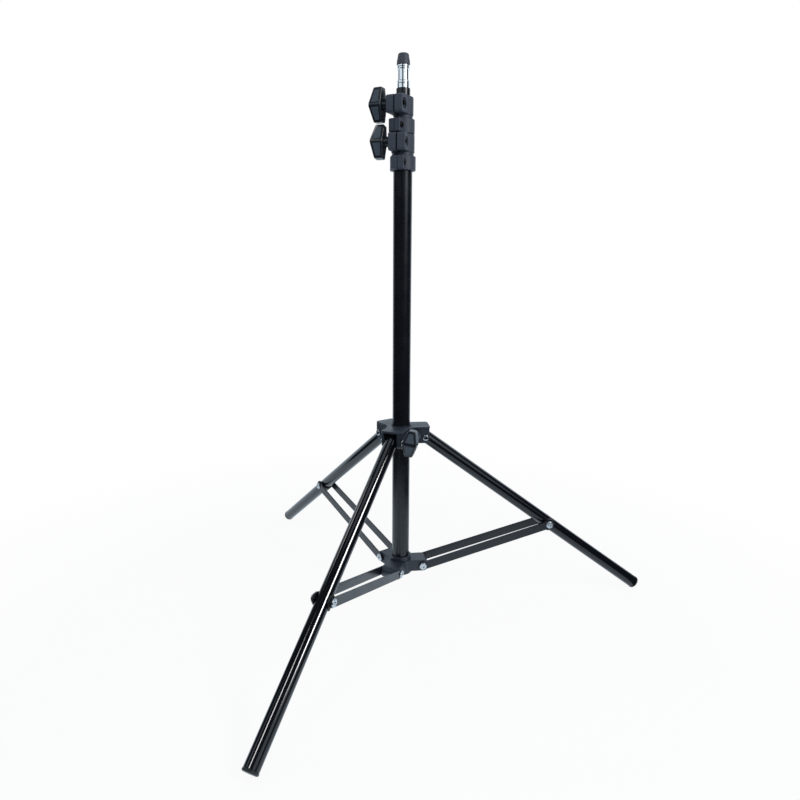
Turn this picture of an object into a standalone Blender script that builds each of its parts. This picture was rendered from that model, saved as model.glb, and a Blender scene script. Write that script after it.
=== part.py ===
"""Light stand: a three-section column on a folding tripod base, at real size.

Metres, +Z up. The stand is open on the floor with its column pushed down. The origin lies
under the middle of its outline, and leg 1 points along -Y.
"""

import math

import bmesh
import bpy
from mathutils import Matrix, Vector

# Clearances and mesh quality
FIT = 0.0003  # between pieces that touch, turn or run in each other
SIDES = 24  # facets of a column tube
SMALL_SIDES = 12  # facets of a bolt, rivet or hole
SHARP_ANGLE = math.radians(35)
OVERCUT = 0.010  # how far a cutter runs past the surface that it cuts
DOUBLES = 2e-7  # points closer than this are one point

# Column: three tubes, one in another
TOP_OD = 0.0180
TOP_WALL = 0.0010
TOP_PLAY = 0.0008  # between the top and middle tubes
MIDDLE_WALL = 0.0010
MIDDLE_PLAY = 0.0005  # between the middle and outer tubes
OUTER_WALL = 0.0012
COLUMN_FOOT = 0.0500  # height of the outer tube's lower end
MIDDLE_FOOT = 0.0200  # middle tube's lower end above the outer tube's
TOP_FOOT = 0.0100  # top tube's lower end above the middle tube's
TOP_RISE = 0.0100  # top tube above its clamp when it is pushed down
PLUG_FLANGE = 0.0022
PLUG_DEPTH = 0.0120
BUSH_FLANGE = 0.0035
BUSH_DEPTH = 0.0050

# Clamps, each a sleeve, a neck and a split body with two ears
CLAMP_FOOT = 0.6177  # height of the base clamp's lower end
SLEEVE_HEIGHT = 0.0175
NECK_HEIGHT = 0.0045
BODY_HEIGHT = 0.0225
SLEEVE_WALL = 0.0040
BODY_WALL = 0.0040
NECK_STEP = 0.0010  # how far the neck stands in from the body
TUBE_SEAT = 0.0012  # tube end above the sleeve
RIM_CHAMFER = 0.0006
CROWN_CHAMFER = 0.0016
EAR_HALF_WIDTH = 0.0115
EAR_INSET = 0.0005  # ear's top and bottom inside the body's
EAR_CORNER = 0.0030
EAR_MARGIN = 0.0065  # ear beyond the bolt's axis
BOLT_OUT = 0.0087  # bolt's axis beyond the middle tube
BOLT_RISE = 0.0113  # bolt's axis above the body's foot
SLIT = 0.0020
SLEEVE_LUG_HALF_WIDTH = 0.0085
SLEEVE_LUG_MARGIN = 0.0046  # sleeve lug beyond the screw's axis
SLEEVE_LUG_INSET = 0.0004
SLEEVE_SLIT = 0.0008
TOP_LUG_TURN = math.radians(-7)  # top clamp's sleeve lug from its ears
BASE_LUG_TURN = 0.0
EDGE_BEVEL = 0.0008
TOP_CLAMP_AZIMUTH = math.radians(-93.5)
BASE_CLAMP_AZIMUTH = math.radians(-85.5)

# Clamp bolts, nuts and screws
BOLT_R = 0.0028
BOLT_TIP = 0.0006
NUT_FLATS = 0.0100
NUT_THICKNESS = 0.0050
NUT_RECESS_R = 0.0070
SCREW_R = 0.0017
SCREW_HEAD_R = 0.0035
SCREW_HEAD_HEIGHT = 0.0024
SCREW_SINK = 0.0012
SCREW_OUT = 0.0049  # screw's axis beyond the sleeve's bore
SCREW_LENGTH = 0.0120
CROSS_LENGTH = 0.0042
CROSS_WIDTH = 0.0011
CROSS_DEPTH = 0.0013

# T-shaped knobs, the collar's a little shorter than the two on the clamps
KNOB_GAP = 0.0028  # between the two clamp knobs
WING_LENGTH = 0.0365
KNOB_BELT = 0.0050  # flat band around a knob's middle
KNOB_DEPTH = 0.0173
KNOB_END_DEPTH = 0.0119
KNOB_THICKNESS = 0.0195
KNOB_END_THICKNESS = 0.0105
KNOB_CORNER = 0.0016
KNOB_RIM = 0.0014
KNOB_PANEL_SINK = 0.0005
KNOB_HUB_R = 0.0065
KNOB_HUB_HEIGHT = 0.0062
KNOB_BORE_DEPTH = 0.0080
BASE_KNOB_TURN = math.radians(8.5)  # how the two clamp knobs are left
TOP_KNOB_TURN = 0.0

# Sliding collar that the legs hinge on
COLLAR_PIVOT_Z = 0.2580
COLLAR_RUN = 0.0004  # between its bore and the outer tube
COLLAR_WALL = 0.0041
COLLAR_HUB_DROP = 0.0090  # hub's foot below the leg pivots
PLATE_RISE = 0.0130  # plate's underside above the leg pivots
PLATE_THICKNESS = 0.0030
PLATE_MARGIN = 0.0010  # plate beyond the cheeks, all round
PLATE_CORNER = 0.0050
PLATE_FILLET = 0.0080
CHEEK_CLEARANCE = 0.0006
THIN_CHEEK = 0.0034  # a fork's cheek on its clockwise side
THICK_CHEEK = 0.0067  # and on the other side
CHEEK_REACH = 0.0056  # cheek beyond the pivot
CHEEK_DROP = 0.0083  # and below it
CHEEK_CORNER = 0.0054
GUARD_RING_WALL = 0.0011  # low ring around the tube on the plate
GUARD_RING_RISE = 0.0012
LEG_STUB = 0.0090  # leg tube behind its pivot
LEG_SWING_CLEARANCE = 0.0038
UPPER_HEAD_R = 0.0045

# Lock of the sliding collar: a bolt beside the tube that pinches the split hub
WING_AZIMUTH = math.radians(-80)
WING_OFFSET = 0.0253  # bolt's axis from the tube's
WING_RISE = 0.0050  # and above the leg pivots
WING_TILT = math.radians(-8)
WING_CLEARANCE = 0.0015  # between the knob's turning circle and the plate
WING_START = 0.0032  # bolt's inner end, along its axis from the foot of WING_OFFSET
BOSS_R = 0.0060
BOSS_START = 0.0045
PINCH_START = 0.0075
PINCH_SLIT = 0.0015
PINCH_WEB_END = 0.0140

# Fixed lower collar that the braces hinge on
LOWER_PIVOT_Z = 0.0604
LOWER_FOOT_DROP = 0.0124  # casting's foot below the brace pivots
LOWER_HUB_RISE = 0.0086
LOWER_RING_RISE = 0.0146
LOWER_WALL = 0.0043
LOWER_RING_WALL = 0.0028
LOWER_LUG_OUT = 0.0151  # brace pivots beyond the hub
LOWER_LUG_R = 0.0085
LOWER_LUG_HALF_WIDTH = 0.0132

# Legs
LEG_OD = 0.0180
LEG_WALL = 0.0011
LEG_LENGTH = 0.4220  # from the pivot to the end of the foot
FOOT_RIM = 0.0030
FOOT_LIP = 0.0003  # how far the foot stands proud of the tube
FOOT_FILLET = 0.0015
FOOT_PLUG = 0.0200
BRACE_POINT = 0.2368  # brace pivot along the leg
SADDLE_THICKNESS = 0.0019
SADDLE_EAR_R = 0.0080
LEG_AZIMUTHS = (math.radians(-90), math.radians(30), math.radians(150))
LEG_SIDES = 20

# Braces: two flat bars to a leg
BAR_WIDTH = 0.0125
BAR_THICKNESS = 0.0018
BAR_SIDE_PLAY = 0.00005  # more room at the lower collar, because the bars lean
LOWER_HEAD_R = 0.0055
BRACE_HEAD_R = 0.0055
HEAD_THICKNESS = 0.0016
HEAD_CHAMFER = 0.0005
HEAD_DIMPLE_R = 0.0018
HEAD_DIMPLE_DEPTH = 0.0013
RIVET_R = 0.0027

# Spigot: a 5/8 inch stud with a 1/4 inch thread end, under a plastic cap
STUD_R = 0.0079375
STUD_PLUG = 0.0250  # length inside the top tube
STUD_FLANGE = 0.0075
STUD_WAIST_R = 0.0070
STUD_WAIST = 0.0120
STUD_TAPER = 0.0018
STUD_HEAD = 0.0044
THREAD_R = 0.0031
THREAD_LENGTH = 0.0090
CAP_R = 0.0085
CAP_TOP_R = 0.0060
CAP_HEIGHT = 0.0135
CAP_ROUND = 0.0012

# Worked out from the sizes above
MIDDLE_OD = TOP_OD + 2 * (TOP_PLAY + MIDDLE_WALL)
OUTER_OD = MIDDLE_OD + 2 * (MIDDLE_PLAY + OUTER_WALL)

LEG_R = LEG_OD / 2
CHEEK_INNER = LEG_R + CHEEK_CLEARANCE
THIN_OUTER = CHEEK_INNER + THIN_CHEEK
THICK_OUTER = CHEEK_INNER + THICK_CHEEK
ARM_THIN_SIDE = THIN_OUTER + PLATE_MARGIN
ARM_THICK_SIDE = THICK_OUTER + PLATE_MARGIN
COLLAR_BORE = OUTER_OD / 2 + COLLAR_RUN
COLLAR_HUB_R = COLLAR_BORE + COLLAR_WALL
COLLAR_PIVOT_R = COLLAR_HUB_R + math.hypot(LEG_STUB, LEG_R) + LEG_SWING_CLEARANCE
ARM_END = COLLAR_PIVOT_R + CHEEK_REACH + PLATE_MARGIN
LOWER_BORE = OUTER_OD / 2 + FIT
LOWER_HUB_R = LOWER_BORE + LOWER_WALL
LOWER_PIVOT_R = LOWER_HUB_R + LOWER_LUG_OUT

FOOT_R = LEG_R + FOOT_LIP
FOOT_ALONG = LEG_LENGTH - FOOT_FILLET  # centre of the foot's rounded rim, along the leg
FOOT_ACROSS = FOOT_R - FOOT_FILLET  # and across it
RIM_DISTANCE = math.hypot(FOOT_ALONG, FOOT_ACROSS)
LEG_DROP = math.asin((COLLAR_PIVOT_Z - FOOT_FILLET) / RIM_DISTANCE) - math.atan2(FOOT_ACROSS, FOOT_ALONG)
FOOT_CENTRE_R = COLLAR_PIVOT_R + FOOT_ALONG * math.cos(LEG_DROP)
FRONT_REACH = FOOT_CENTRE_R + FOOT_ACROSS * math.sin(LEG_DROP) + FOOT_FILLET
BACK_SINE = math.sin(LEG_AZIMUTHS[1])
RIM_REACH = math.hypot(math.sin(LEG_DROP) * BACK_SINE, math.cos(LEG_AZIMUTHS[1]))
BACK_REACH = FOOT_CENTRE_R * BACK_SINE + FOOT_ACROSS * RIM_REACH + FOOT_FILLET
COLUMN_Y = (FRONT_REACH - BACK_REACH) / 2

BRACE_TOP_R = COLLAR_PIVOT_R + BRACE_POINT * math.cos(LEG_DROP)
BRACE_TOP_Z = COLLAR_PIVOT_Z - BRACE_POINT * math.sin(LEG_DROP)
BRACE_LENGTH = math.hypot(BRACE_TOP_R - LOWER_PIVOT_R, BRACE_TOP_Z - LOWER_PIVOT_Z)
BRACE_CLIMB = math.atan2(BRACE_TOP_Z - LOWER_PIVOT_Z, BRACE_TOP_R - LOWER_PIVOT_R)
SADDLE_OUTER = LEG_R + FIT + SADDLE_THICKNESS
BAR_AT_LEG = SADDLE_OUTER + FIT
BAR_AT_COLLAR = LOWER_LUG_HALF_WIDTH + FIT + BAR_SIDE_PLAY
BAR_LEAN = math.atan2(BAR_AT_COLLAR - BAR_AT_LEG, BRACE_LENGTH)
BAR_LENGTH = math.hypot(BRACE_LENGTH, BAR_AT_COLLAR - BAR_AT_LEG)

CLAMP_HEIGHT = SLEEVE_HEIGHT + NECK_HEIGHT + BODY_HEIGHT
TOP_CLAMP_FOOT = CLAMP_FOOT + CLAMP_HEIGHT + FIT
COLUMN_TOP = TOP_CLAMP_FOOT + CLAMP_HEIGHT + TOP_RISE
BODY_FOOT = SLEEVE_HEIGHT + NECK_HEIGHT
BOLT_AXIS_R = MIDDLE_OD / 2 + BOLT_OUT
BOLT_AXIS_Z = BODY_FOOT + BOLT_RISE
KNOB_LENGTH = CLAMP_HEIGHT + FIT - KNOB_GAP
KNOB_STANDOFF = EAR_HALF_WIDTH + FIT + KNOB_HUB_HEIGHT
WING_SKEW = WING_AZIMUTH - LEG_AZIMUTHS[0]  # bolt's direction from the front arm's
WING_STANDOFF = (
    ARM_END * math.cos(WING_SKEW) + ARM_THICK_SIDE * math.sin(WING_SKEW) + WING_CLEARANCE
)
BOSS_END = WING_STANDOFF - KNOB_HUB_HEIGHT - FIT

ALONG_X = Matrix(((0, 0, 1, 0), (1, 0, 0, 0), (0, 1, 0, 0), (0, 0, 0, 1)))  # outline y, z
ALONG_Y = Matrix.Rotation(math.pi / 2, 4, "X")  # outline x, z, depth towards -Y
TURNED_TO_X = Matrix.Rotation(math.pi / 2, 4, "Y")
TURNED_TO_Y = Matrix.Rotation(-math.pi / 2, 4, "X")


def material(name, colour, roughness, metallic=0.0):
    """A plain surface; colour is linear red, green and blue."""
    made = bpy.data.materials.new(name)
    made.use_nodes = True
    shader = made.node_tree.nodes["Principled BSDF"]
    shader.inputs["Base Color"].default_value = (*colour, 1.0)
    shader.inputs["Roughness"].default_value = roughness
    shader.inputs["Metallic"].default_value = metallic
    made.diffuse_color = (*colour, 1.0)
    return made


def mesh_of(shape):
    """The finished mesh of a bmesh, its faces pointing out."""
    shape.normal_update()
    bmesh.ops.recalc_face_normals(shape, faces=shape.faces[:])
    mesh = bpy.data.meshes.new("shape")
    shape.to_mesh(mesh)
    shape.free()
    return mesh


def turned(profile, ring=False, sides=SIDES, turn=Matrix()):
    """A profile of (radius, height) points spun about Z; ring closes it on itself."""
    shape = bmesh.new()
    points = [shape.verts.new((radius, 0.0, height)) for radius, height in profile]
    pairs = list(zip(points, points[1:]))
    if ring:
        pairs.append((points[-1], points[0]))
    lines = [shape.edges.new(pair) for pair in pairs]
    bmesh.ops.spin(
        shape,
        geom=points + lines,
        cent=(0, 0, 0),
        axis=(0, 0, 1),
        angle=math.tau,
        steps=sides,
        use_merge=True,
    )
    bmesh.ops.remove_doubles(shape, verts=shape.verts[:], dist=DOUBLES)
    shape.transform(turn)
    return mesh_of(shape)


def extruded(outline, low, high, turn=Matrix(), bevel=0.0):
    """An outline extruded from low to high along Z, with its sharp edges bevelled."""
    shape = bmesh.new()
    base = shape.faces.new([shape.verts.new((x, y, low)) for x, y in outline])
    raised = bmesh.ops.extrude_face_region(shape, geom=[base])["geom"]
    lift = [part for part in raised if isinstance(part, bmesh.types.BMVert)]
    bmesh.ops.translate(shape, verts=lift, vec=(0, 0, high - low))
    bmesh.ops.recalc_face_normals(shape, faces=shape.faces[:])
    if bevel:
        sharp = [edge for edge in shape.edges if edge.calc_face_angle() > SHARP_ANGLE]
        bmesh.ops.bevel(shape, geom=sharp, offset=bevel, segments=1, profile=0.5, affect="EDGES")
    shape.transform(turn)
    return mesh_of(shape)


def rod(radius, start, end, sides=SMALL_SIDES):
    """A cylinder between two points."""
    start = Vector(start)
    end = Vector(end)
    shape = bmesh.new()
    bmesh.ops.create_cone(
        shape, cap_ends=True, segments=sides, radius1=radius, radius2=radius, depth=(end - start).length
    )
    turn = (end - start).to_track_quat("Z", "Y").to_matrix().to_4x4()
    shape.transform(Matrix.Translation((start + end) / 2) @ turn)
    return mesh_of(shape)


def block(low, high):
    """A box between two corners."""
    low = Vector(low)
    high = Vector(high)
    shape = bmesh.new()
    bmesh.ops.create_cube(shape, size=1.0)
    bmesh.ops.scale(shape, verts=shape.verts[:], vec=high - low)
    bmesh.ops.translate(shape, verts=shape.verts[:], vec=(low + high) / 2)
    return mesh_of(shape)


def placed(mesh, place):
    """A mesh moved by a matrix."""
    mesh.transform(place)
    return mesh


def combined(mesh, tool, operation):
    """A mesh after one Boolean with a tool mesh, its near-double points merged."""
    body = bpy.data.objects.new("body", mesh)
    helper = bpy.data.objects.new("tool", tool)
    helper.hide_render = True
    helper.display_type = "WIRE"
    for half in (body, helper):
        bpy.context.scene.collection.objects.link(half)
    modifier = body.modifiers.new(operation, "BOOLEAN")
    modifier.operation = operation
    modifier.object = helper
    bpy.context.view_layer.update()
    graph = bpy.context.evaluated_depsgraph_get()
    result = bpy.data.meshes.new_from_object(body.evaluated_get(graph))
    for half in (body, helper):
        bpy.data.objects.remove(half)
    shape = bmesh.new()
    shape.from_mesh(result)
    bmesh.ops.remove_doubles(shape, verts=shape.verts[:], dist=DOUBLES)
    bmesh.ops.dissolve_degenerate(shape, edges=shape.edges[:], dist=DOUBLES)
    shape.to_mesh(result)
    shape.free()
    return result


def joined(mesh, parts):
    for part in parts:
        mesh = combined(mesh, part, "UNION")
    return mesh


def cut(mesh, tools):
    return combined(mesh, joined(tools[0], tools[1:]), "DIFFERENCE")


def arc(centre, radius, start, end, steps):
    """Points on an arc, its ends included; angles in degrees."""
    angles = [math.radians(start + (end - start) * step / steps) for step in range(steps + 1)]
    return [(centre[0] + radius * math.cos(a), centre[1] + radius * math.sin(a)) for a in angles]


def rounded(corners, steps=3):
    """An outline through corners (x, y, radius), each rounded by its own radius."""
    outline = []
    for index, (x, y, radius) in enumerate(corners):
        here = Vector((x, y))
        if radius == 0:
            outline.append(here)
            continue
        back = (Vector(corners[index - 1][:2]) - here).normalized()
        ahead = (Vector(corners[(index + 1) % len(corners)][:2]) - here).normalized()
        half = back.angle(ahead) / 2
        centre = here + (back + ahead).normalized() * radius / math.sin(half)
        first = here + back * radius / math.tan(half) - centre
        last = here + ahead * radius / math.tan(half) - centre
        start = math.atan2(first.y, first.x)
        sweep = (math.atan2(last.y, last.x) - start + math.pi) % math.tau - math.pi
        for step in range(steps + 1):
            angle = start + sweep * step / steps
            outline.append(centre + radius * Vector((math.cos(angle), math.sin(angle))))
    return outline


def axis_frame(name, parent, location=(0, 0, 0), rotation=(0, 0, 0)):
    """An empty on a joint's axis, which carries the pieces that move about it."""
    empty = bpy.data.objects.new(name, None)
    bpy.context.scene.collection.objects.link(empty)
    empty.parent = parent
    empty.location = location
    empty.rotation_euler = rotation
    return empty


def piece(name, mesh, surface, parent, location=(0, 0, 0), rotation=(0, 0, 0)):
    """One sub-part of the stand, as its own object."""
    if not mesh.materials:
        mesh.materials.append(surface)
        mesh.shade_smooth()
        mesh.set_sharp_from_angle(angle=SHARP_ANGLE)
    made = bpy.data.objects.new(name, mesh)
    bpy.context.scene.collection.objects.link(made)
    made.parent = parent
    made.location = location
    made.rotation_euler = rotation
    return made


def tube(outer_r, wall, low, high, sides=SIDES, turn=Matrix()):
    inner_r = outer_r - wall
    profile = [(inner_r, low), (outer_r, low), (outer_r, high), (inner_r, high)]
    return turned(profile, ring=True, sides=sides, turn=turn)


def flanged_plug(flange_r, insert_r, flange, depth):
    """A plug with its flange below z = 0 and its insert above."""
    profile = [
        (0, -flange - FIT),
        (flange_r - RIM_CHAMFER, -flange - FIT),
        (flange_r, RIM_CHAMFER - flange - FIT),
        (flange_r, -FIT),
        (insert_r, -FIT),
        (insert_r, depth),
        (0, depth),
    ]
    return turned(profile)


def clamp_mesh(lower_bore, upper_bore, lug_turn):
    """A clamp about Z, its foot at z = 0, its ears along +X and its sleeve's lug turned from them.

    The sleeve grips the tube below and ends it; the split body runs on the tube above.
    """
    aside = Matrix.Rotation(lug_turn, 4, "Z")
    sleeve_r = lower_bore + SLEEVE_WALL
    body_r = upper_bore + BODY_WALL
    neck_r = body_r - NECK_STEP
    stack = turned(
        [
            (0, 0),
            (sleeve_r - RIM_CHAMFER, 0),
            (sleeve_r, RIM_CHAMFER),
            (sleeve_r, SLEEVE_HEIGHT - RIM_CHAMFER),
            (sleeve_r - RIM_CHAMFER, SLEEVE_HEIGHT),
            (neck_r, SLEEVE_HEIGHT),
            (neck_r, BODY_FOOT),
            (body_r - RIM_CHAMFER, BODY_FOOT),
            (body_r, BODY_FOOT + RIM_CHAMFER),
            (body_r, CLAMP_HEIGHT - CROWN_CHAMFER),
            (body_r - CROWN_CHAMFER, CLAMP_HEIGHT),
            (0, CLAMP_HEIGHT),
        ]
    )
    root = upper_bore / 2
    ear_end = BOLT_AXIS_R + EAR_MARGIN
    ear_low = BODY_FOOT + EAR_INSET
    ear_high = CLAMP_HEIGHT - EAR_INSET
    ears = extruded(
        rounded(
            [
                (root, ear_low, 0),
                (ear_end, ear_low, EAR_CORNER),
                (ear_end, ear_high, EAR_CORNER),
                (root, ear_high, 0),
            ],
            steps=2,
        ),
        -EAR_HALF_WIDTH,
        EAR_HALF_WIDTH,
        ALONG_Y,
        EDGE_BEVEL,
    )
    screw_r = lower_bore + SCREW_OUT
    lug_end = screw_r + SLEEVE_LUG_MARGIN
    lug = extruded(
        rounded(
            [
                (root, SLEEVE_LUG_INSET, 0),
                (lug_end, SLEEVE_LUG_INSET, EAR_CORNER / 2),
                (lug_end, SLEEVE_HEIGHT - SLEEVE_LUG_INSET, EAR_CORNER / 2),
                (root, SLEEVE_HEIGHT - SLEEVE_LUG_INSET, 0),
            ],
            steps=2,
        ),
        -SLEEVE_LUG_HALF_WIDTH,
        SLEEVE_LUG_HALF_WIDTH,
        ALONG_Y,
        EDGE_BEVEL,
    )
    bore_step = SLEEVE_HEIGHT + TUBE_SEAT + FIT
    bore = turned(
        [
            (0, -OVERCUT),
            (lower_bore, -OVERCUT),
            (lower_bore, bore_step),
            (upper_bore, bore_step),
            (upper_bore, CLAMP_HEIGHT + OVERCUT),
            (0, CLAMP_HEIGHT + OVERCUT),
        ]
    )
    slit = block(
        (0, -SLIT / 2, BODY_FOOT - NECK_HEIGHT / 3), (ear_end + OVERCUT, SLIT / 2, CLAMP_HEIGHT + OVERCUT)
    )
    sleeve_slit = block(
        (0, -SLEEVE_SLIT / 2, -OVERCUT), (lug_end + OVERCUT, SLEEVE_SLIT / 2, SLEEVE_HEIGHT + TUBE_SEAT / 2)
    )
    past = EAR_HALF_WIDTH + OVERCUT
    bolt_hole = rod(BOLT_R + FIT, (BOLT_AXIS_R, -past, BOLT_AXIS_Z), (BOLT_AXIS_R, past, BOLT_AXIS_Z))
    recess_floor = EAR_HALF_WIDTH - NUT_THICKNESS - FIT
    recess = rod(
        NUT_RECESS_R, (BOLT_AXIS_R, recess_floor, BOLT_AXIS_Z), (BOLT_AXIS_R, past, BOLT_AXIS_Z), SIDES
    )
    screw_z = SLEEVE_HEIGHT / 2
    head_seat = SLEEVE_LUG_HALF_WIDTH - SCREW_SINK
    screw_hole = rod(
        SCREW_R + FIT, (screw_r, head_seat - SCREW_LENGTH - FIT, screw_z), (screw_r, past, screw_z)
    )
    head_hole = rod(SCREW_HEAD_R + FIT, (screw_r, head_seat, screw_z), (screw_r, past, screw_z), SIDES)
    solid = joined(stack, [ears, placed(lug, aside)])
    lug_tools = [placed(tool, aside) for tool in (sleeve_slit, screw_hole, head_hole)]
    return cut(solid, [bore, slit, bolt_hole, recess, *lug_tools])


def nut_mesh():
    """A hexagonal nut about Z, on z = 0."""
    corner_r = NUT_FLATS / 2 / math.cos(math.pi / 6)
    hexagon = arc((0, 0), corner_r, 0, 300, 5)
    body = extruded(hexagon, 0, NUT_THICKNESS, bevel=EDGE_BEVEL / 2)
    hole = rod(BOLT_R + FIT, (0, 0, -OVERCUT), (0, 0, NUT_THICKNESS + OVERCUT))
    return cut(body, [hole])


def screw_mesh():
    """A cross-head screw about Z, the seat of its head at z = 0 and its shank below."""
    body = turned(
        [
            (0, -SCREW_LENGTH),
            (SCREW_R, -SCREW_LENGTH),
            (SCREW_R, FIT),
            (SCREW_HEAD_R, FIT),
            (SCREW_HEAD_R, SCREW_HEAD_HEIGHT - HEAD_CHAMFER),
            (SCREW_HEAD_R - HEAD_CHAMFER, SCREW_HEAD_HEIGHT),
            (0, SCREW_HEAD_HEIGHT),
        ],
        sides=SMALL_SIDES,
    )
    long_half = CROSS_LENGTH / 2
    short_half = CROSS_WIDTH / 2
    quarter = [(long_half, -short_half), (long_half, short_half), (short_half, short_half)]
    cross = []
    for turn in range(4):
        spin = Matrix.Rotation(turn * math.pi / 2, 2)
        cross += [tuple(spin @ Vector(point)) for point in quarter]
    driver = extruded(cross, SCREW_HEAD_HEIGHT - CROSS_DEPTH, SCREW_HEAD_HEIGHT + OVERCUT)
    return cut(body, [driver])


def knob_mesh(length):
    """A T-shaped knob: its inner face at x = 0, its hub towards -X, its bar along Z."""

    def section(height, inset):
        share = max(0, (2 * abs(height) - KNOB_BELT) / (length - KNOB_BELT))
        depth = KNOB_DEPTH + (KNOB_END_DEPTH - KNOB_DEPTH) * share - inset
        half = (KNOB_THICKNESS + (KNOB_END_THICKNESS - KNOB_THICKNESS) * share) / 2 - inset
        corners = [(inset, -half), (depth, -half), (depth, half), (inset, half)]
        return rounded([(x, y, KNOB_CORNER) for x, y in corners], steps=2)

    shape = bmesh.new()
    end = length / 2
    shoulder = end - KNOB_CORNER
    half_belt = KNOB_BELT / 2
    levels = [(-end, KNOB_CORNER)]
    levels += [(height, 0) for height in (-shoulder, -half_belt, half_belt, shoulder)]
    levels += [(end, KNOB_CORNER)]
    below = None
    for height, inset in levels:
        points = [shape.verts.new((x, y, height)) for x, y in section(height, inset)]
        loop = [shape.edges.new((point, points[k - 1])) for k, point in enumerate(points)]
        if below:
            bmesh.ops.bridge_loops(shape, edges=below + loop)
        if abs(height) == end:
            shape.faces.new(points)
        below = loop
    bmesh.ops.recalc_face_normals(shape, faces=shape.faces[:])
    panel_area = KNOB_BELT * KNOB_THICKNESS
    panels = [f for f in shape.faces if f.calc_area() > panel_area and f.normal.x > -0.5]
    bmesh.ops.inset_individual(shape, faces=panels, thickness=KNOB_RIM, depth=-KNOB_PANEL_SINK)
    hub = rod(KNOB_HUB_R, (-KNOB_HUB_HEIGHT, 0, 0), (KNOB_BORE_DEPTH / 2, 0, 0), LEG_SIDES)
    bore = rod(BOLT_R + FIT, (-OVERCUT, 0, 0), (KNOB_BORE_DEPTH + FIT, 0, 0))
    return cut(joined(mesh_of(shape), [hub]), [bore])


def bolt_mesh(start, end):
    """A bolt along X from start to end, its tips chamfered."""
    profile = [
        (0, start),
        (BOLT_R - BOLT_TIP, start),
        (BOLT_R, start + BOLT_TIP),
        (BOLT_R, end - BOLT_TIP),
        (BOLT_R - BOLT_TIP, end),
        (0, end),
    ]
    return turned(profile, sides=SMALL_SIDES, turn=TURNED_TO_X)


def headed_rivet(low_seat, high_seat, head_r):
    """A tubular rivet along Y: heads outside -low_seat and +high_seat, each with a dimple."""

    def half(seat):
        face = seat + HEAD_THICKNESS
        return [
            (RIVET_R, seat),
            (head_r, seat),
            (head_r, face - HEAD_CHAMFER),
            (head_r - HEAD_CHAMFER, face),
            (HEAD_DIMPLE_R, face),
            (HEAD_DIMPLE_R, face - HEAD_DIMPLE_DEPTH),
            (0, face - HEAD_DIMPLE_DEPTH),
        ]

    low_half = [(radius, -height) for radius, height in reversed(half(low_seat))]
    return turned(low_half + half(high_seat), sides=SMALL_SIDES, turn=TURNED_TO_Y)


def star(end, low_side, high_side, corner, fillet):
    """A plate's outline with an arm towards each leg and fillets between the arms.

    An arm reaches low_side to its clockwise side and high_side to the other.
    """
    notch = (low_side - high_side * math.cos(math.pi / 3)) / math.sin(math.pi / 3)
    corners = []
    for azimuth in LEG_AZIMUTHS:
        turn = Matrix.Rotation(azimuth, 2)
        arm = ((end, -low_side, corner), (end, high_side, corner), (notch, high_side, fillet))
        for x, y, radius in arm:
            point = turn @ Vector((x, y))
            corners.append((point.x, point.y, radius))
    return rounded(corners)


def leg_collar_mesh():
    """The sliding collar about Z, its leg pivots at z = 0."""
    plate_top = PLATE_RISE + PLATE_THICKNESS
    outline = star(ARM_END, ARM_THIN_SIDE, ARM_THICK_SIDE, PLATE_CORNER, PLATE_FILLET)
    plate = extruded(outline, PLATE_RISE, plate_top, bevel=EDGE_BEVEL)
    buried = PLATE_RISE + PLATE_THICKNESS / 2
    hub = rod(COLLAR_HUB_R, (0, 0, -COLLAR_HUB_DROP), (0, 0, buried), SIDES)
    guard_top = plate_top + GUARD_RING_RISE
    guard = rod(COLLAR_BORE + GUARD_RING_WALL, (0, 0, buried), (0, 0, guard_top), SIDES)
    cheek_end = COLLAR_PIVOT_R + CHEEK_REACH
    side = [
        (COLLAR_HUB_R / 2, -CHEEK_DROP),
        *arc((cheek_end - CHEEK_CORNER, CHEEK_CORNER - CHEEK_DROP), CHEEK_CORNER, -90, 0, 5),
        (cheek_end, buried),
        (COLLAR_HUB_R / 2, buried),
    ]
    parts = [hub, guard]
    holes = []
    past = THICK_OUTER + OVERCUT
    for azimuth in LEG_AZIMUTHS:
        turn = Matrix.Rotation(azimuth, 4, "Z")
        parts.append(placed(extruded(side, -THICK_OUTER, -CHEEK_INNER, ALONG_Y), turn))
        parts.append(placed(extruded(side, CHEEK_INNER, THIN_OUTER, ALONG_Y), turn))
        hole = rod(RIVET_R + FIT, (COLLAR_PIVOT_R, -past, 0), (COLLAR_PIVOT_R, past, 0))
        holes.append(placed(hole, turn))
    wing = (
        Matrix.Rotation(WING_AZIMUTH, 4, "Z") @ Matrix.Translation((0, WING_OFFSET, WING_RISE))
    )
    parts.append(placed(block((BOSS_START, -WING_OFFSET / 2, -BOSS_R), (PINCH_WEB_END, 0, BOSS_R)), wing))
    parts.append(placed(rod(BOSS_R, (BOSS_START, 0, 0), (BOSS_END, 0, 0), LEG_SIDES), wing))
    holes.append(rod(COLLAR_BORE, (0, 0, -COLLAR_HUB_DROP - OVERCUT), (0, 0, guard_top + OVERCUT), SIDES))
    holes.append(placed(rod(BOLT_R + FIT, (0, 0, 0), (BOSS_END + OVERCUT, 0, 0)), wing))
    pinch_foot = -COLLAR_HUB_DROP - WING_RISE - OVERCUT
    pinch = block(
        (PINCH_START, COLLAR_BORE / 2 - WING_OFFSET, pinch_foot),
        (PINCH_START + PINCH_SLIT, BOSS_R + OVERCUT, PLATE_RISE - WING_RISE),
    )
    holes.append(placed(pinch, wing))
    return cut(joined(plate, parts), holes)


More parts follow.
